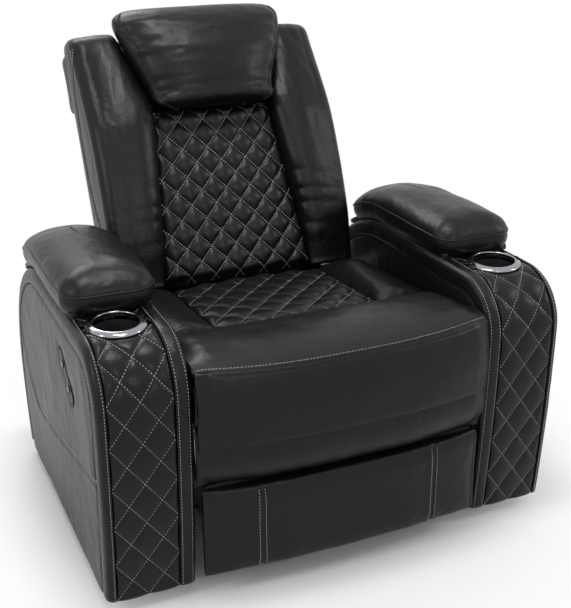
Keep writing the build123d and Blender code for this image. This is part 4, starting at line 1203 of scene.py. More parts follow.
    def bands(self) -> None:
        """The stuffed borders on both sides of the quilted insert."""
        runs = spaced(0.0, self.line.length, 7.0)
        turns = [math.radians(angle) for angle in (8, 22, 37, 52, 67, 82)]
        x1, r = self.outer_x, 17.0
        outer = [(x1 - 3.4, 33.9), (x1 - 1.4, 33.2), (x1 - 0.2, 31.0), (x1 + 0.2, 27.5), (x1 + 0.1, 22.0)]
        outer += [(x1 - r + r * math.cos(turn), r - r * math.sin(turn)) for turn in turns]
        outer += [(x1 - r, -0.3), (x1 - r - 0.6, 0.2), (x1 - r - 1.1, 1.6), (x1 - r - 1.2, 3.8)]
        outer += [(x1 - r - 1.2, 13.5), (x1 - r - 1.2, 24.0), (x1 - r - 1.2, 33.9)]
        bm = self.swept(outer, runs, lambda x, inset, run: (
            0.7 * ripple(x, run, 0, 30, 2.0) if inset < 12 else 0.0))
        self.part("outer_border", bm, "arm_outer_band", 0.5)
        x0, x2 = self.inner_x, self.insert_x0 - 0.4
        inner = [(x0 + 3.2, 33.9), (x0 + 1.0, 33.0), (x0 + 0.1, 30.0), (x0 - 0.2, 22.0), (x0 + 0.1, 12.0),
                 (x0 + 1.4, 6.0), (x0 + 4.5, 2.2), (x0 + 9.0, 0.0), (x0 + 15.0, -1.1), (x0 + 21.0, -1.2),
                 (x2 - 6.0, -0.7), (x2 - 2.6, 0.2), (x2 - 0.6, 1.8), (x2, 4.2), (x2, 13.5),
                 (x0 + 12.0, 13.6), (x0 + 11.3, 22.0), (x0 + 11.3, 33.9)]
        bm = self.swept(inner, runs, lambda x, inset, run: (
            0.6 * ripple(x, run, 0, 26, 6.0) if inset < 3 else 0.0))
        self.part("inner_border", bm, "arm_inner_band", 0.5)

    def insert(self) -> None:
        """The diamond-quilted front and top, with the cup's hole."""
        end, cup = self.line.run_at(self.tray_front_y), self.line.run_at(self.cup_y)
        half = (self.insert_x1 - self.insert_x0) / 2
        pattern = QuiltPattern(63.0, 84.0, depth=5.2, spread=6.5, rim=5.0, cells=12)
        bm = pattern.cut_out(0.0, end, half)
        spot = Vector((0, cup, 0))
        inside = [face for face in bm.faces if (face.calc_center_median() - spot).length < self.cup_hole + 1.0]
        bmesh.ops.delete(bm, geom=inside, context="FACES")
        for vert in bm.verts:
            reach = vert.co - spot
            if vert.is_boundary and reach.length < self.cup_hole + 12.0:
                vert.co = spot + reach.normalized() * self.cup_hole

        def lay(across: float, run: float, height: float) -> Vector:
            """A place over the insert's sunken base."""
            y, z = self.line.point(run, self.insert_sink - height)
            return self.at(self.insert_middle + across, y, max(z, self.line.bottom_z))

        def lift(across: float, run: float) -> float:
            """The stuffing's height."""
            rim = min(half - abs(across), end - run, run + 8)
            near = math.hypot(across, run - cup) - self.cup_hole
            flat = 0.45 + 0.55 * smooth(near, 2.0, 16.0)
            return pattern.height(across, run, rim) * flat - 1.6 * math.exp(-max(0.0, rim) / 2.5)

        for vert in bm.verts:
            vert.co = lay(vert.co.x, vert.co.y, lift(vert.co.x, vert.co.y))
        bmesh.ops.recalc_face_normals(bm, faces=bm.faces)
        lead = max(bm.faces, key=lambda face: face.calc_center_median().z)
        if lead.normal.z < 0:
            bmesh.ops.reverse_faces(bm, faces=bm.faces)
        self.part("quilted_insert", bm, "arm_insert", 0.6, "quilted_upholstery", solid=0.0105)
        sewing = Stitching(self.side.name_for("insert_stitches"), "chassis")
        for track in pattern.seams(0.0, end, lambda _: half):
            row: List[Tuple[Vector, Vector]] = []
            for across, run in [*track, (0.0, cup)]:
                if math.hypot(across, run - cup) >= self.cup_hole + 6.0:
                    row.append((lay(across, run, lift(across, run) + 0.3), self.line.outwards(run, 0.0)))
                    continue
                if len(row) > 4:
                    sewing.row(row)
                row = []
        sewing.finish(self.shop, "quilted_upholstery")

    def rear_cover(self) -> None:
        """The plain cover on the arm's rear."""
        start = self.line.run_at(self.tray_rear_y + 0.5)
        x0, x1 = self.insert_x0 + 0.2, self.insert_x1 - 0.2
        section = [(x0, 4.0), (x0 + 0.8, 1.8), (x0 + 3.0, 0.4)]
        section += [(x, -0.6) for x in spaced(x0 + 8.0, x1 - 8.0, 12.0)]
        section += [(x1 - 3.0, 0.4), (x1 - 0.8, 1.8), (x1, 4.0), (x1, 12.0), (x0, 12.0)]
        bm = self.swept(section, spaced(start, self.line.length, 7.0), lambda x, inset, run: (
            1.2 * ripple(x, run, 0, 55, 4.0) - 1.4 if inset < 1 else -0.6))
        self.part("rear_side_cover", bm, "arm_rear_cover", 0.3)

    def cup_ring(self) -> None:
        """The turned chrome ring round the cup's well."""
        profile = [(42.6, 0.4), (42.6, 7.4), (43.2, 8.3), (44.4, 8.7), (47.0, 8.4), (51.0, 7.3), (54.5, 5.6),
                   (56.4, 4.0), (57.0, 2.6), (56.8, 1.2), (55.6, 0.4)]
        bm = bmesh.new()
        verts = [bm.verts.new((r * MM, 0, z * MM)) for r, z in profile]
        edges = [bm.edges.new(pair) for pair in zip(verts, [*verts[1:], verts[0]])]
        bmesh.ops.spin(bm, geom=[*verts, *edges], cent=(0, 0, 0), axis=(0, 0, 1), angle=2 * math.pi, steps=96,
                       use_merge=True)
        bmesh.ops.remove_doubles(bm, verts=bm.verts, dist=CONTACT)
        spot = self.at(self.insert_middle, self.cup_y, self.line.top_z - 0.2)
        place = Matrix.Translation(spot) @ Matrix.Rotation(math.radians(self.ring_tilt), 4, "X")
        bmesh.ops.transform(bm, matrix=place, verts=bm.verts)
        bmesh.ops.recalc_face_normals(bm, faces=bm.faces)
        self.part("chrome_cup_ring", bm, "cup_ring", slot="chrome_trim")

    def over_top(self, across: float, along: float, lift: float) -> Vector:
        """A point over the arm's top, by its distance along the top and the shoulder."""
        if along <= self.line.shoulder_y:
            return self.at(self.middle + across, along, self.line.top_z + lift)
        turn = (along - self.line.shoulder_y) / self.line.shoulder
        r = self.line.shoulder + lift
        return self.at(self.middle + across, self.line.shoulder_y + r * math.sin(turn),
                       self.line.top_z - self.line.shoulder + r * math.cos(turn))

    def pad(self) -> None:
        """The stuffed arm pad: a side band, a corded seam and a crowned top."""
        body = self.side.name_for("lid")
        form = PadForm()

        def lay(around: float, ring: float) -> Vector:
            """A skin point: a ring below 0 runs in under the pad, 0 to 1 climbs the band, the rest is crown."""
            if ring < 0:
                return self.over_top(*form.rim(around, -ring), self.pad_floor)
            inward = form.band_inset(ring) if ring <= 1.0 else ring - 1.0
            across, along = form.rim(around, inward)
            lift = form.band_height(ring, along) if ring <= 1.0 else form.crown_height(inward, along)
            x = self.middle + across
            if ring > 3.0:
                ease = smooth(ring, 3.0, 30.0)
                lift += ease * (1.5 * ripple(x * self.side.value, along, 0, 62, 1.7)
                                + 0.6 * ripple(x * self.side.value, along, 4, 24, 6.7))
                lift += 1.6 * (1 - ease) * ripple(across, along, 0, 17, 3.9 + self.side.value)
            return self.over_top(across, along, lift)

        rings = [-inward for inward in spaced(form.half - 3.0, 8.8, 9.0)]
        rings += [0.0, 0.05, 0.15, 0.3, 0.45, 0.6, 0.75, 0.86, 0.94, 1.0, 1.6, 3.0, 5.0]
        rings += [1.0 + inward for inward in spaced(7.0, form.half - 3.0, 4.5)]
        around = spaced(0.0, 1.0, 1 / 160)
        bm = grid_surface(around, rings, lay)
        close_up(bm)
        self.part("stuffed_arm_pad", bm, "arm_pad", 0.8, body=body)
        self.apron(body)
        welt = [lay(part, 1.0) for part in around[:-1]]
        self.part("arm_pad_welt", tube(welt, self.welt_radius * MM, closed=True), body=body)

    def apron(self, body: str) -> None:
        """The cover round the lid board, under the pad."""
        low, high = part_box(self.side.name_for("arm_lid"))
        form = PadForm(start=low.y / MM - FORWARD_SHIFT - 1.8, end=high.y / MM - FORWARD_SHIFT + 1.8, half=80.8,
                       corner=6.0, falls=((0.0, 1.0, 1.0, 1.0), (1.0, 1.0, 1.0, 1.0)))
        section = [(0.4, 3.6), (0.0, 4.2), (0.0, 7.0), (0.0, 12.0), (0.4, 12.8), (1.5, 12.8), (1.5, 7.0), (1.5, 3.6),
                   (0.4, 3.6)]

        def lay(around: float, index: float) -> Vector:
            """A point of the apron."""
            inward, lift = section[int(index)]
            return self.over_top(*form.rim(around, inward), lift)

        bm = grid_surface(spaced(0.0, 1.0, 1 / 96), list(range(len(section))), lay)
        close_up(bm)
        self.part("pad_apron", bm, body=body)

    def seams(self, outer: bpy.types.Object) -> None:
        """The top-stitching of the borders and of the outer side."""
        sewing = Stitching(self.side.name_for("border_stitches"), "chassis")
        front, corner, top, _, _ = self.line.stretches
        runs = spaced(2.0, front + corner + top + 190.0, 3.0)
        for x, inset, sideways in ((self.outer_x + 0.1, 29.0, True), (self.outer_x - 14.2, -0.1, False),
                                   (self.insert_x0 - 5.0, -0.5, False), (self.inner_x + 8.2, 0.3, False)):
            track = []
            for run in runs:
                y, z = self.line.point(run, inset)
                if sideways:
                    out = Vector((self.side.value, 0, 0))
                else:
                    out = self.line.outwards(run, inset)
                track.append((self.at(x, y, z), out))
            sewing.row(track)
        skin = Skin.of(outer)
        for shift in (0.0, 7.0):
            sewing.on(skin, [self.at(self.outer_x, y - shift * 0.6, z + shift) for y, z in self.side_seam])
        sewing.finish(self.shop)


# ---------------------------------------------------------------- seat and leg rest


def drawn_back(x: float) -> float:
    """How far the seat's front is drawn back at a place across it: 0 in the middle, 1 at the ends."""
    return min(1.0, abs(x) / 305.0) ** 2.6


def rounded_end(x: float, start: float) -> float:
    """How far the seat's front is rounded off towards its ends: 0 up to the start, 1 at the ends."""
    return smooth(abs(x), start, 309) ** 1.6


def about_knee(radius: float, turn: float) -> Tuple[float, float]:
    """The (y, z) of a place round the leg rest's pivot, by its turn in degrees."""
    way = math.radians(turn)
    return KNEE_Y + radius * math.cos(way), KNEE_Z + radius * math.sin(way)


def front_slack(x: float, z: float, fine: float = 0.5) -> float:
    """The slack of the front's cover, alike on the fold and the leg pad so that they meet."""
    return 1.9 * ripple(x, FOLD_END_Y, z * 1.5, 110, 4.4) + fine * ripple(x, 0, z * 0.3, 26, 1.9)


def across_front(loop: Callable[[float], List[Vector]]) -> bmesh.types.BMesh:
    """A closed skin across the whole front, through a section at each place."""
    return lofted([-309.0, -308.6] + spaced(-306.0, 306.0, 5.0) + [308.6, 309.0], loop)


@dataclass
class Seat:
    """The seat: quilted centre, two plain side gussets and a wide front roll.

    Each row of roll_skin is a step over the roll, then y and z; each row of fold_skin is a share of the fold's
    height and y.
    """

    shop: Workshop
    front_y: float = -263.0
    rear_y: float = 64.0
    face_end: float = 27.0
    front_z: float = 464.0
    rear_z: float = 440.0
    under_z: float = 386.3
    half: float = 181.7
    lip_y: float = -520.0
    lip_rise: float = 8.0
    lip_step: float = 6.5
    roll_step: float = 0.125
    roll_radius: float = 62.4
    rear_fold_half: float = 232.0
    roll_skin: Tuple[Tuple[float, float, float], ...] = (
        (0, -263, 456), (1, -296, 482), (2, -340, 495), (3, -388, 500), (4, -436, 499), (5, -478, 493),
        (6, -507, 485), (6.5, -516, 480), (7, -519.5, 474), (7.5, -518, 469))
    fold_high_z: float = 476.0
    fold_low_z: float = 330.0
    fold_skin: Tuple[Tuple[float, float], ...] = (
        (0.0, -518.5), (0.09, -524), (0.22, -529), (0.42, -533), (0.62, -534), (0.8, -533), (0.92, -531.5),
        (1.0, FOLD_END_Y))

    def build(self) -> None:
        """Makes the seat's pieces."""
        self.quilt()
        self.gussets()
        self.roll()
        self.rear_fold()

    def face(self, y: float) -> float:
        """The seat's face height along its length."""
        part = (y - self.front_y) / (self.rear_y - self.front_y)
        drop = 36 * smooth(y, self.face_end - 6, self.rear_y + 10)
        return self.front_z + (self.rear_z - self.front_z) * part - drop

    def quilt(self) -> None:
        """The diamond-quilted centre."""
        middle = (self.front_y + self.face_end) / 2
        pattern = QuiltPattern(72.8, 76.0, start=middle, depth=8.0, spread=8.0, rim=7.0)
        front, rear, half = self.front_y + 0.6, self.rear_y, self.half
        bm = pattern.cut_out(front, rear, half)

        def lay(across: float, along: float) -> Vector:
            """A place on the quilted face."""
            rim = min(half - abs(across), along - front, rear - along)
            lift = pattern.height(across, along, rim) - 3.0 * math.exp(-rim / 4.0)
            crown = 7.0 * (1 - (across / half) ** 2)
            return at(across, along, self.face(along) + crown + lift - 2.0)

        for vert in bm.verts:
            vert.co = lay(vert.co.x, vert.co.y)
        close_down(bm, lambda co: Vector((co.x, co.y, self.under_z * MM)))
        self.shop.piece("quilted_seat_cushion", bm, "quilted_upholstery", "seat", ["seat_quilt"], 0.8)
        sewing = Stitching("seat_stitches", "seat")
        up, raised = Vector((0, 0.07, 1)).normalized(), Vector((0, 0, 0.3 * MM))
        for track in pattern.seams(front, rear, lambda _: half):
            sewing.row([(lay(across, along) + raised, up) for across, along in track])
        sewing.finish(self.shop, "quilted_upholstery")

    def gussets(self) -> None:
        """The plain stuffed sides, drawn in where they are sewn to the centre."""
        room = node_room("seat_gusset_right", (0, 0, 0, 0, 0, 7))
        right = Stuffing(fine=4.0, cap=8.0).form("seat_gusset_right", room)

        def relief(point: Vector, normal: Vector) -> float:
            """Soft folds that run in from the sewn edge."""
            inner = abs(point.x) - 182
            pull = math.exp(-max(0.0, inner) / 30) * 1.6 * ripple(0, point.y, 0, 15, 3.3)
            return (pull + 1.2 * ripple(point.x, point.y, point.z, 60, 2.2)) * smooth(normal.z, 0.1, 0.7)

        for side, form in ((Side.LEFT, mirrored(right)), (Side.RIGHT, right)):
            self.shop.piece(side.name_for("seat_side_cushion"), raise_skin(form, relief), "upholstery", "seat",
                            [side.name_for("seat_gusset")], 0.8)

    def roll_line(self, x: float) -> List[Tuple[float, float]]:
        """The roll's top and front skin at x, from the rear over the crown to its lip, as (y, z)."""
        back = drawn_back(x)
        end = rounded_end(x, 262)
        line = []
        for step in spaced(0.0, self.roll_skin[-1][0], self.roll_step):
            y, z = between(self.roll_skin, step, 1), between(self.roll_skin, step, 2)
            part = smooth(-y, 380, 515)
            broad = smooth(step, 0.3, 1.5)
            z += self.lip_rise * back * part - end * 17.0 * broad * (1 - part * 0.75)
            z += broad * (1 - part) * (2.4 * ripple(x, y * 1.6, 0, 95, 7.7) + 0.9 * ripple(x * 0.8, y, 4, 30, 2.2))
            y += FRONT_BOW * back * part + end * 4.0 * part
            if abs(step - self.lip_step) < self.roll_step / 2:
                y, z = y + 2.4, z - 1.6
            line.append((y, z))
        return line

    def roll(self) -> None:
        """The wide stuffed front edge, with its top-stitched lip."""

        def loop(x: float) -> List[Vector]:
            """The roll's section at x."""
            line = self.roll_line(x)
            y, z = line[-1]
            line += [(y + 7.0, z - 0.5)]
            start = math.degrees(math.atan2(z - KNEE_Z, y + 7.0 - KNEE_Y))
            line += [about_knee(self.roll_radius, turn) for turn in spaced(start, 0.0, 12.0)[1:]]
            line += [(KNEE_Y + self.roll_radius, self.under_z), (self.front_y, self.under_z)]
            return [at(x, y, z) for y, z in line]

        self.shop.piece("stuffed_front_roll", across_front(loop), "upholstery", "seat", ["seat_front_roll"], 0.85)
        sewing = Stitching("roll_stitches", "seat")
        track = []
        index = round(self.lip_step / self.roll_step) - 3
        for x in spaced(-303.0, 303.0, 3.0):
            (y, z), (y1, z1) = self.roll_line(x)[index:index + 2]
            track.append((at(x, y, z), Vector((0, z1 - z, y - y1)).normalized()))
        sewing.row(track)
        sewing.finish(self.shop)
        self.fold()

    def fold(self) -> None:
        """The soft cover that joins the roll's lip to the leg rest."""

        def loop(x: float) -> List[Vector]:
            """The fold's section at x."""
            back = drawn_back(x)
            shift = FRONT_BOW * back + rounded_end(x, 268) * 7.0
            front, rear = [], []
            for part in spaced(0.0, 1.0, 1 / 18):
                z = self.fold_high_z + self.lip_rise * back * (1 - part)
                z -= (self.fold_high_z - self.fold_low_z) * part
                y = between(self.fold_skin, part, 1) + shift - smooth(part, 0, 0.2) * front_slack(x, z)
                front.append((y, z))
                rear.append((y + 7.0, z))
            return [at(x, y, z) for y, z in front + rear[::-1]]

        piece = self.shop.piece("knee_fold", across_front(loop), "upholstery", "", fill=0.5)
        tuple(at(0, self.lip_y, self.fold_high_z - 8.0))
        tuple(at(0, self.lip_y, self.fold_low_z + 8.0))
        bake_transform(piece)

    def rear_fold(self) -> None:
        """The cloth that closes the opening between the seat's rear edge and the back's lower edge."""

        def loop(x: float) -> List[Vector]:
            """The cloth's section at x."""
            sag = 1.5 * ripple(x, 0, 0, 40, 1.0)
            line = [(57.0, 397.0), (70.0, 396.0 - sag), (86.0, 397.0 - sag), (102.0, 401.5 - sag), (116.0, 408.0),
                    (128.0, 414.0)]
            return [at(x, y, z) for y, z in line] + [at(x, y, z - 4.0) for y, z in reversed(line)]

        bm = lofted(spaced(-self.rear_fold_half, self.rear_fold_half, 8.0), loop)
        piece = self.shop.piece("seat_rear_fold", bm, "upholstery", "", fill=0.1)
        tuple(at(0, 62, 397))
        tuple(at(0, 124, 412))
        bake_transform(piece)


@dataclass
class LegRest:
    """The leg rest: a bulging front pad over a lower panel with two stitched seams.

    Each row of front_skin is a share of the pad's unevenness, then y and z.
    """

    shop: Workshop
    seam_x: float = 190.0
    knee_radius: float = 57.6
    knee_draw: float = 14.0
    inner_radius: float = 24.5
    neck_deg: float = 38.0
    rear_y: float = -470.0
    front_skin: Tuple[Tuple[float, float, float], ...] = (
        (0.6, -506, 370), (0.9, -519, 360), (1, -526, 350), (1, -530, 338), (1, -531.5, 325), (1, -531, 312),
        (1, -529, 299), (1, -525.5, 286), (1, -520, 274), (1, -512, 262), (0.8, -501, 249.5), (0.4, -487, 243.6))

    def build(self) -> None:
        """Makes the leg rest's pieces."""
        self.front_pad()
        self.lower_panel()

    def front_pad(self) -> None:
        """The big bulging pad, rounded about the knee at its top."""

        def loop(x: float) -> List[Vector]:
            """The pad's section at x."""
            back = drawn_back(x)
            end = rounded_end(x, 268)
            radius = self.knee_radius - self.knee_draw * back
            line = [about_knee(radius, turn) for turn in spaced(112.0, 180.0 + self.neck_deg, 9.0)]
            for part, y, z in self.front_skin:
                lift = front_slack(x, z, 0.5 + 1.4 * smooth(300 - z, 0, 50))
                line.append((min(y + FRONT_BOW * back + end * 7.0 * part - lift * part, self.rear_y - 3.0), z))
            line += [(self.rear_y, 243.4), (self.rear_y, 380.0)]
            line += [about_knee(self.inner_radius, turn) for turn in spaced(222.0, 112.0, 12.0)]
            return [at(x, y, z) for y, z in line]

        self.shop.piece("stuffed_leg_pad", across_front(loop), "upholstery", "leg_rest", ["leg_pad"], 0.85)

    def lower_panel(self) -> None:
        """The padded lower panel."""
        form = Stuffing(fine=3.8, cap=6.0).form("foot_pad", node_room("foot_pad", (0.2, 4, 0, 0.2, 0, 0)))

        def relief(point: Vector, normal: Vector) -> float:
            """Seam grooves and the swell between them."""
            front = smooth(-normal.y, 0.2, 0.7)
            seam = abs(abs(point.x) - self.seam_x)
            groove = -2.6 * math.exp(-(seam / 3.2) ** 2) + 0.8 * math.exp(-((seam - 10) / 7) ** 2)
            wider = 5.2 * smooth(abs(normal.x), 0.5, 0.9)
            upper = 2.6 * smooth(normal.z, 0.3, 0.8)
            return front * (groove + 1.1 * ripple(point.x, point.y, point.z, 80, 6.4)) + wider + upper

        bm = raise_skin(form, relief)
        panel = self.shop.piece("lower_foot_panel", bm, "upholstery", "foot_panel", ["foot_pad"], 0.6)
        skin = Skin.of(panel)
        sewing = Stitching("foot_panel_stitches", "foot_panel")
        for side in (-1, 1):
            for off in (-4.5, 4.5):
                x = side * self.seam_x + off
                sewing.on(skin, [at(x, -520, z) for z in spaced(50, 236, 12)])
        sewing.finish(self.shop)


# ---------------------------------------------------------------- back


@dataclass
class Back:
    """The back: quilted centre, two stuffed wings, rear cover and head pillow.

    Heights run up the back from its foot. Each row of wing_fronts is a height, then how far out the inner edge,
    the crown and the outer corner stand; of pillow_form, a height, half the width, front and rear.
    """

    shop: Workshop
    foot_y: float = 76.0
    foot_z: float = 450.0
    rake: float = math.radians(25.0)
    quilt_top: float = 397.0
    low_half: float = 180.0
    top_half: float = 143.0
    half: float = 300.5
    wing_top: float = 592.0
    wing_gap: float = 196.0
    wing_round: float = 30.0
    wing_peak: float = 0.42
    corner_round: float = 30.0
    rear_out: float = -94.6
    flap_out: float = -112.0
    wing_fronts: Tuple[Tuple[float, float, float, float], ...] = (
        (0, -12, 4, 0), (60, -4, 24, 16), (102, 0, 34, 26), (224, 3, 46, 36), (348, 3, 42, 31),
        (400, 0, 34, 20), (441, -8, 24, 9), (500, -18, 8, -8), (560, -30, -12, -24), (592, -38, -24, -33))
    wing_seam: Tuple[Tuple[float, float], ...] = (
        (0, -22), (80, -26), (138, -36), (200, -62), (279, -78), (366, -78), (420, -72), (467, -65), (530, -46),
        (587, -22))
    pillow_low: float = 383.0
    pillow_top: float = 630.0
    pillow_round: float = 26.0
    piping_in: float = 13.0
    piping_radius: float = 2.1
    lining_span: Tuple[float, float] = (399.0, 573.0)
    board_span: Tuple[float, float] = (426.0, 576.0)
    pillow_form: Tuple[Tuple[float, float, float, float], ...] = (
        (383, 129, 66, 22), (392, 139, 73, 12), (404, 145, 79, -8), (424, 149, 82, -50), (463, 162, 87, -66),
        (515, 180, 86, -66), (560, 195, 76, -66), (590, 203, 62, -64), (606, 203, 50, -60), (618, 198, 42, -56),
        (630, 184, 34, -50))

    def build(self) -> None:
        """Makes the back's pieces."""
        self.quilt()
        self.wings()
        self.cover()
        self.linings()
        self.pillow()

    def at(self, x: float, up: float, out: float) -> Vector:
        """A place up the back's face and out of it."""
        return at(x, self.foot_y + up * math.sin(self.rake) - out * math.cos(self.rake),
                  self.foot_z + up * math.cos(self.rake) + out * math.sin(self.rake))

    def own(self, point: Vector) -> Tuple[float, float]:
        """How far up the back and out of its face a drawing point lies."""
        dy, dz = point.y - self.foot_y, point.z - self.foot_z
        return (dy * math.sin(self.rake) + dz * math.cos(self.rake),
                -dy * math.cos(self.rake) + dz * math.sin(self.rake))

    def quilt_half(self, up: float) -> float:
        """Half the quilted centre's width at a height."""
        return self.low_half + (self.top_half - self.low_half) * up / self.quilt_top

    def quilt(self) -> None:
        """The tapering diamond-quilted centre."""
        pattern = QuiltPattern(60.0, 66.0, depth=9.0, spread=7.5, rim=8.0)
        low, high = -15.0, self.quilt_top - 1.0
        bm = pattern.fabric(low, high, self.low_half)
        lean = (self.low_half - self.top_half) / self.quilt_top
        edges = [(Vector((0, low, 0)), Vector((0, -1, 0))), (Vector((0, high, 0)), Vector((0, 1, 0)))]
        for side in (1, -1):
            edges.append((Vector((side * (self.low_half - 0.4), 0, 0)), Vector((side, lean, 0))))
        pattern.trim(bm, edges)

        def lay(across: float, up: float, more: float = 0.0) -> Vector:
            """A place on the quilted face."""
            half = self.quilt_half(up)
            rim = min(half - abs(across), up - low, high - up)
            crown = 8.0 * (1 - (across / half) ** 2)
            ends = -15.0 * (1 - smooth(up, -16, 12)) - 20.0 * smooth(up, 374, 400)
            lift = pattern.height(across, up, rim + 1) - 5.0 * math.exp(-max(0.0, rim) / 5.0)
            return self.at(across, up, crown + ends + lift - 2.5 + more)

        for vert in bm.verts:
            vert.co = lay(vert.co.x, vert.co.y)

        def under(co: Vector) -> Vector:
            """The place behind a rim point."""
            point = drawn(co)
            up, _ = self.own(point)
            return self.at(point.x, up, self.rear_out)

        close_down(bm, under)
        self.shop.piece("quilted_back_cushion", bm, "quilted_upholstery", "back", ["back_quilt"], 0.8)
        out = Vector((0, -math.cos(self.rake), math.sin(self.rake)))
        sewing = Stitching("back_stitches", "back")
        for track in pattern.seams(low, high, self.quilt_half):
            sewing.row([(lay(across, up, 0.3), out) for across, up in track])
        sewing.finish(self.shop, "quilted_upholstery")

    def wing_edges(self, up: float) -> Tuple[float, float]:
        """A wing's inner and outer edge at a height."""
        if up <= self.quilt_top:
            inner = self.quilt_half(up) + 0.5
        else:
            part = (up - self.quilt_top) / (self.wing_top - self.quilt_top)
            inner = self.quilt_half(self.quilt_top) + 0.5 + (self.wing_gap - self.top_half - 0.5) * part
        return inner, self.half

    def wing_loop(self, side: Side, row: float) -> List[Vector]:
        """The section of a wing; beyond the round's start, rows turn over the top edge in degrees."""
        start = self.wing_top - self.wing_round
        turn = max(0.0, row - start)
        angle = math.radians(min(turn, 90.0))
        up = row if turn == 0 else start + self.wing_round * math.sin(angle)
        sink = self.wing_round * 0.9 * (1 - math.cos(angle))
        draw = 8.0 * (1 - math.cos(angle)) + (6.0 if turn > 90 else 0.0)
        inner, outer = self.wing_edges(up)
        inner, outer = inner + draw * 0.3, outer - draw
        sewn, crown, corner = (between(self.wing_fronts, up, column) - sink for column in (1, 2, 3))
        seam = between(self.wing_seam, up, 1) - sink * 0.5
        flat_end = outer - self.corner_round
        points: List[Tuple[float, float, float]] = [
            (inner, self.rear_out, 0), (inner, (self.rear_out + sewn) / 2, 0), (inner, sewn - 22, 0),
            (inner + 0.3, sewn - 10, 0), (inner + 1.8, sewn - 3.5, 0.2)]
        peak = self.wing_peak
        for part in spaced(0.03, 1.0, 1 / 26):
            x = inner + (flat_end - inner) * part
            if part < peak:
                out = sewn + (crown - sewn) * math.sqrt(max(0.0, 1 - (1 - part / peak) ** 2.2))
            else:
                out = crown + (corner - crown) * ((part - peak) / (1 - peak)) ** 1.7
            points.append((x, out, 1))
        for angle_deg in (80, 68, 56, 44, 32, 20, 9):
            way = math.radians(angle_deg)
            points.append((flat_end + self.corner_round * math.cos(way),
                           corner - self.corner_round + self.corner_round * math.sin(way), 1))
        low = corner - self.corner_round
        for part in spaced(0.0, 1.0, 1 / 18):
            out = low + (self.flap_out - low) * part
            dent = -3.2 * math.exp(-((out - seam) / 3.2) ** 2) - 2.0 * smooth(part, 0.82, 1.0)
            puff = 1.6 * smooth(abs(out - seam), 2, 16) * smooth(part, 0.0, 0.3)
            points.append((outer + dent + puff - 1.6, out, 0.35))
        points += [(outer - 5.0, self.flap_out, 0), (outer - 5.2, self.rear_out - 4.0, 0),
                   (outer - 5.4, self.rear_out, 0), ((inner + outer) / 2, self.rear_out, 0)]
        return [self.wing_skin(side, up, x, out, share) for x, out, share in points]

    def wing_skin(self, side: Side, up: float, x: float, out: float, share: float) -> Vector:
        """A wing's skin point with its gathers and wrinkles laid on."""
        if share > 0:
            inner, _ = self.wing_edges(up)
            inward = x - inner
            low = smooth(up, 24, 66) * (1 - smooth(up, 215, 300))
            strong = 1.0 if side is Side.RIGHT else 0.5
            wave = abs(math.sin(up / 14.0 + 1.3 * ripple(0, up, 0, 70, 4.0) + inward / 110)) ** 0.8
            gather = strong * low * 7.5 * math.exp(-max(0.0, inward - 4) / 38) * (wave - 0.55)
            gather *= smooth(inward, 0, 8)
            high = smooth(up, 300, 360)
            seed = 5.5 + 3.0 * side.value
            long = (1.6 + 1.6 * high) * ripple(x * 1.9, 0, up * 0.32, 70, seed)
            fine = (0.7 + 0.9 * high) * ripple(x * 1.5 + up * 0.2, out, up * 0.35, 24, 9.1 + side.value)
            out += share * (gather + long + fine)
        return self.at(x * side.value, up, out)

    def wings(self) -> None:
        """The plain stuffed wings, wrapped round the back's sides to a stitched seam."""
        start = self.wing_top - self.wing_round
        rows = spaced(-12.0, start, 5.0) + [start + turn for turn in (10, 22, 34, 46, 58, 70, 80, 90, 91)]
        for side in Side:
            bm = lofted(rows, lambda row: self.wing_loop(side, row))
            wing = self.shop.piece(side.name_for("stuffed_wing"), bm, "upholstery", "back",
                                   [side.name_for("back_wing")], 0.85)
            skin = Skin.of(wing)
            sewing = Stitching(side.name_for("wing_stitches"), "back")
            for shift in (6.0, -6.0):
                guide = [self.at(side.value * (self.half + 3), up, between(self.wing_seam, up, 1) + shift)
                         for up in spaced(30.0, 560.0, 15.0)]
                sewing.on(skin, guide)
            sewing.finish(self.shop)

    def cover(self) -> None:
        """The back's rear cover, with its deeper upper part, and the strip over the board's top edge."""
        form = Stuffing(fine=5.5, cap=5.0).form("back_rear_cover", node_room("back_rear_cover", (1, 0, 0, 1, 4, 2)))
        bm = raise_skin(form, lambda point, _: 1.4 * ripple(point.x, point.y, point.z * 0.6, 90, 2.8))
        self.shop.piece("back_rear_panel", bm, "upholstery", "back", ["back_rear_cover"], 0.3)

        def strip(x: float) -> List[Vector]:
            """The strip's section at x."""
            top = 587.0 + 1.2 * ripple(x, 0, 0, 60, 2.0)
            return [self.at(x, up, out) for up, out in (
                (575.0, self.flap_out), (top - 4, self.flap_out - 6.0), (top, self.flap_out), (top + 1.5, -104.0),
                (top + 0.5, -95.5), (top - 4.0, -92.6), (580.0, -92.4), (575.0, -93.0))]

        self.shop.piece("back_top_strip", lofted(spaced(-288.0, 288.0, 12.0), strip), "upholstery", "back")

    def flat_cover(self, name: str, body: str, span: Tuple[float, float], section: Section) -> None:
        """A cover of one section that runs up the back.

        Args:
            name: The piece's name.
            body: The body it rides on.
            span: Its lowest and highest place up the back.
            section: Its points, across the back and out of its face.
        """
        bm = lofted(spaced(*span, 20.0), lambda up: [self.at(x, up, out) for x, out in section])
        self.shop.piece(name, bm, "upholstery", body)

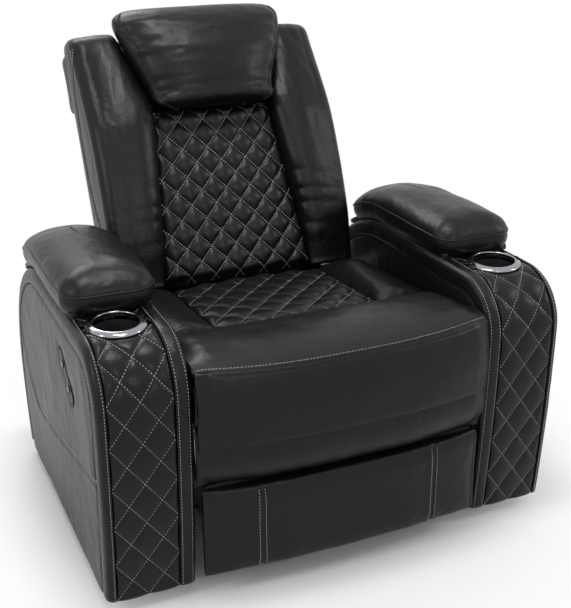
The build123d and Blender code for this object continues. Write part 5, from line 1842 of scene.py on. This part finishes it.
    def linings(self) -> None:
        """The cloth over the back's board behind the head pillow, and the pillow board's own cover."""
        self.flat_cover("back_upper_lining", "back", self.lining_span, [
            (-212.0, -94.4), (-212.0, -91.6), (-100.0, -91.2), (0.0, -91.0), (100.0, -91.2), (212.0, -91.6),
            (212.0, -94.4), (0.0, -94.4)])
        self.flat_cover("pillow_board_cover", "headrest", self.board_span, [
            (-132.4, -88.2), (-132.8, -80.0), (-132.4, -71.6), (0.0, -71.2), (132.4, -71.6), (132.8, -80.0),
            (132.4, -88.2), (0.0, -88.4)])

    def pillow_loop(self, row: float) -> List[Vector]:
        """The pillow's section at a height; rows beyond its ends turn over the edge in degrees."""
        low, high = self.pillow_low + self.pillow_round, self.pillow_top - self.pillow_round
        turn = row - high if row > high else (low - row if row < low else 0.0)
        angle = math.radians(min(turn, 90.0))
        up = row if turn == 0 else (high + self.pillow_round * math.sin(angle) if row > high
                                    else low - self.pillow_round * math.sin(angle))
        half = between(self.pillow_form, up, 1) - self.pillow_round * 0.7 * (1 - math.cos(angle))
        front, rear = between(self.pillow_form, up, 2), between(self.pillow_form, up, 3)
        middle = (front + rear) / 2 + 4.0
        full = 0.16 + 0.84 * math.cos(angle) ** 0.8
        front, rear = middle + (front - middle) * full, middle + (rear - middle) * full
        points = []
        for part in spaced(0.0, 1.0, 1 / 44):
            across = math.sin((part - 0.5) * math.pi)
            out = middle + (front - middle) * max(0.0, 1 - abs(across) ** 2.7) ** 0.5
            points.append((across * half, out, 1.0))
        for part in spaced(0.0, 1.0, 1 / 18)[1:-1]:
            across = math.sin((0.5 - part) * math.pi)
            out = middle + (rear - middle) * max(0.0, 1 - abs(across) ** 5.0) ** 0.5
            points.append((across * half, out, 0.0))
        skin = []
        for x, out, share in points:
            inward = half - abs(x)
            wave = math.sin(up / 6.2 + 3.0 * ripple(0, up, 0, 45, 2.0 + (3.0 if x > 0 else 0.0)))
            gather = 3.4 * math.exp(-max(0.0, inward - 10) / 26) * wave * smooth(inward, 6, 20)
            long = 3.0 * ripple(x * 0.5, 0, up * 1.7, 70, 8.8) + 1.2 * ripple(x * 0.9, 0, up * 2.2, 30, 1.8)
            piping = -3.2 * math.exp(-((inward - self.piping_in) / 3.5) ** 2)
            skin.append(self.at(x, up, out + share * full * (gather + long + piping)))
        return skin

    def pillow(self) -> None:
        """The puffy head pillow, gathered at its piped ends."""
        low, high = self.pillow_low + self.pillow_round, self.pillow_top - self.pillow_round
        turns = (91, 90, 80, 70, 60, 50, 40, 30, 20, 10)
        rows = [low - turn for turn in turns] + spaced(low, high, 4.0) + [high + turn for turn in reversed(turns)]
        bm = lofted(rows, self.pillow_loop)
        pillow = self.shop.piece("stuffed_head_pillow", bm, "upholstery", "headrest", ["head_pillow"], 0.85)
        skin = Skin.of(pillow)
        inwards = self.at(0, 0, -1) - self.at(0, 0, 0)
        for side in Side:
            cord = []
            for up in spaced(self.pillow_low + 8, self.pillow_top - 10, 6.0):
                half = between(self.pillow_form, up, 1)
                spot = skin.below(self.at(side.value * (half - self.piping_in), up, 140.0), inwards)
                if spot is not None:
                    cord.append(spot[0])
            bm = tube(cord, self.piping_radius * MM)
            self.shop.piece(side.name_for("pillow_piping"), bm, "upholstery", "headrest")


# ---------------------------------------------------------------- hard parts, light and camera


@dataclass
class HardParts:
    """The solids that keep their own shape and get their finish."""

    shop: Workshop

    def dress(self) -> None:
        """Gives each shown solid its finish."""
        slots = {part["node"]: part["material_slot"] for part in frame["record"]["subparts"]}
        for name, node in frame["nodes"].items():
            material = self.shop.finishes.by_slot[slots[name]]
            for slot in node.material_slots:
                slot.material = material
            LOG.info("%s: %s", name, material.name)


@dataclass(frozen=True)
class SoftBox:
    """A rectangular lamp, in metres and watts."""

    name: str
    place: Tuple[float, float, float]
    width: float
    height: float
    power: float


@dataclass(frozen=True)
class Studio:
    """A pale floor, soft light and the photograph's viewpoint."""

    azimuth: float = math.radians(23.71)
    pitch: float = math.radians(21.77)
    roll: float = math.radians(-0.274)
    place: Tuple[float, float, float] = (-859.8, -2142.6, 1313.6)
    focal: float = 63.95
    ambient: float = 0.46
    near_floor: float = 0.42
    far_floor: float = 1.0
    lit: Tuple[float, float, float] = (0.0, -0.1, 0.5)
    boxes: Tuple[SoftBox, ...] = (
        SoftBox("overhead", (-0.2, -0.4, 2.9), 0.75, 0.42, 30.0),
        SoftBox("left_box", (-2.6, -0.9, 2.0), 0.4, 0.9, 17.0),
        SoftBox("right_box", (2.5, -1.2, 1.9), 0.35, 0.9, 15.0),
        SoftBox("front_box", (-0.3, -3.4, 2.3), 0.9, 0.4, 15.0),
        SoftBox("rear_box", (-0.4, 2.1, 2.7), 1.5, 0.35, 32.0))

    def build(self) -> None:
        """Sets up the scene round the chair."""
        self.camera()
        self.floor()
        self.sky()
        self.lamps()

    def camera(self) -> None:
        """The photograph's viewpoint."""
        a, e, r = self.azimuth, self.pitch, self.roll
        back = Vector((-math.sin(a) * math.cos(e), -math.cos(a) * math.cos(e), math.sin(e)))
        right = Vector((math.cos(a), -math.sin(a), 0))
        up = back.cross(right)
        right, up = right * math.cos(r) + up * math.sin(r), up * math.cos(r) - right * math.sin(r)
        lens = bpy.data.cameras.new("view")
        lens.lens, lens.sensor_width = self.focal, 36.0
        view = bpy.data.objects.new("view", lens)
        view.matrix_world = Matrix.Translation(at(*self.place)) @ Matrix(
            (right, up, back)).transposed().to_4x4()
        bpy.context.scene.collection.objects.link(view)
        bpy.context.scene.camera = view

    def floor(self) -> None:
        """A wide pale floor."""
        bm = bmesh.new()
        bmesh.ops.create_grid(bm, x_segments=1, y_segments=1, size=30.0)
        floor = object_of("floor", bm)
        floor.data.materials.append(self.floor_finish())

    def floor_finish(self) -> bpy.types.Material:
        """Pale matt paint that turns into the white background some way off the chair."""
        graph = Paint("studio_floor")
        material = graph.feed(Base_Color=(0.93, 0.93, 0.93, 1), Roughness=0.7)
        reach = graph.node("ShaderNodeVectorMath", {"operation": "LENGTH"}, {0: graph.place}, "Value")
        far = graph.node("ShaderNodeMapRange", {"interpolation_type": "SMOOTHSTEP"},
                         {"Value": reach, "From Min": self.near_floor, "From Max": self.far_floor})
        white = graph.node("ShaderNodeEmission", {}, {"Color": (1, 1, 1, 1), "Strength": 1.0})
        mixed = graph.node("ShaderNodeMixShader", {}, {
            0: far * graph.background_rays(), 1: graph.shader.outputs[0], 2: white})
        target = graph.tree.nodes["Material Output"]
        graph.tree.links.new(mixed.socket, target.inputs["Surface"])
        return material

    def sky(self) -> None:
        """A background that is white where it is seen, and a plain level of light elsewhere."""
        world = bpy.data.worlds.new("studio")
        bpy.context.scene.world = world
        world.use_nodes = True
        graph = Graph(world.node_tree)
        strength = self.ambient + graph.background_rays() * (1.0 - self.ambient)
        surface = graph.tree.nodes["Background"].inputs
        surface["Color"].default_value = (1, 1, 1, 1)
        graph.tree.links.new(strength.socket, surface["Strength"])

    def lamps(self) -> None:
        """Soft boxes that face the chair."""
        for box in self.boxes:
            lamp = bpy.data.lights.new(box.name, "AREA")
            lamp.shape, lamp.size, lamp.size_y, lamp.energy = "RECTANGLE", box.width, box.height, box.power
            holder = bpy.data.objects.new(box.name, lamp)
            holder.location = box.place
            holder.rotation_euler = (Vector(box.place) - Vector(self.lit)).to_track_quat("Z", "Y").to_euler()
            bpy.context.scene.collection.objects.link(holder)


def main() -> None:
    """Builds the studio and the chair."""
    logging.basicConfig(level=logging.INFO, format="%(name)s %(message)s")
    bpy.context.scene.view_settings.view_transform = "Standard"
    Studio().build()
    shop = Workshop(Finishes())
    HardParts(shop).dress()
    for side in Side:
        Arm(shop, side).build()
    Seat(shop).build()
    LegRest(shop).build()
    Back(shop).build()
    LOG.info("%d pieces made", shop.made)


if __name__ == "__main__":
    main()
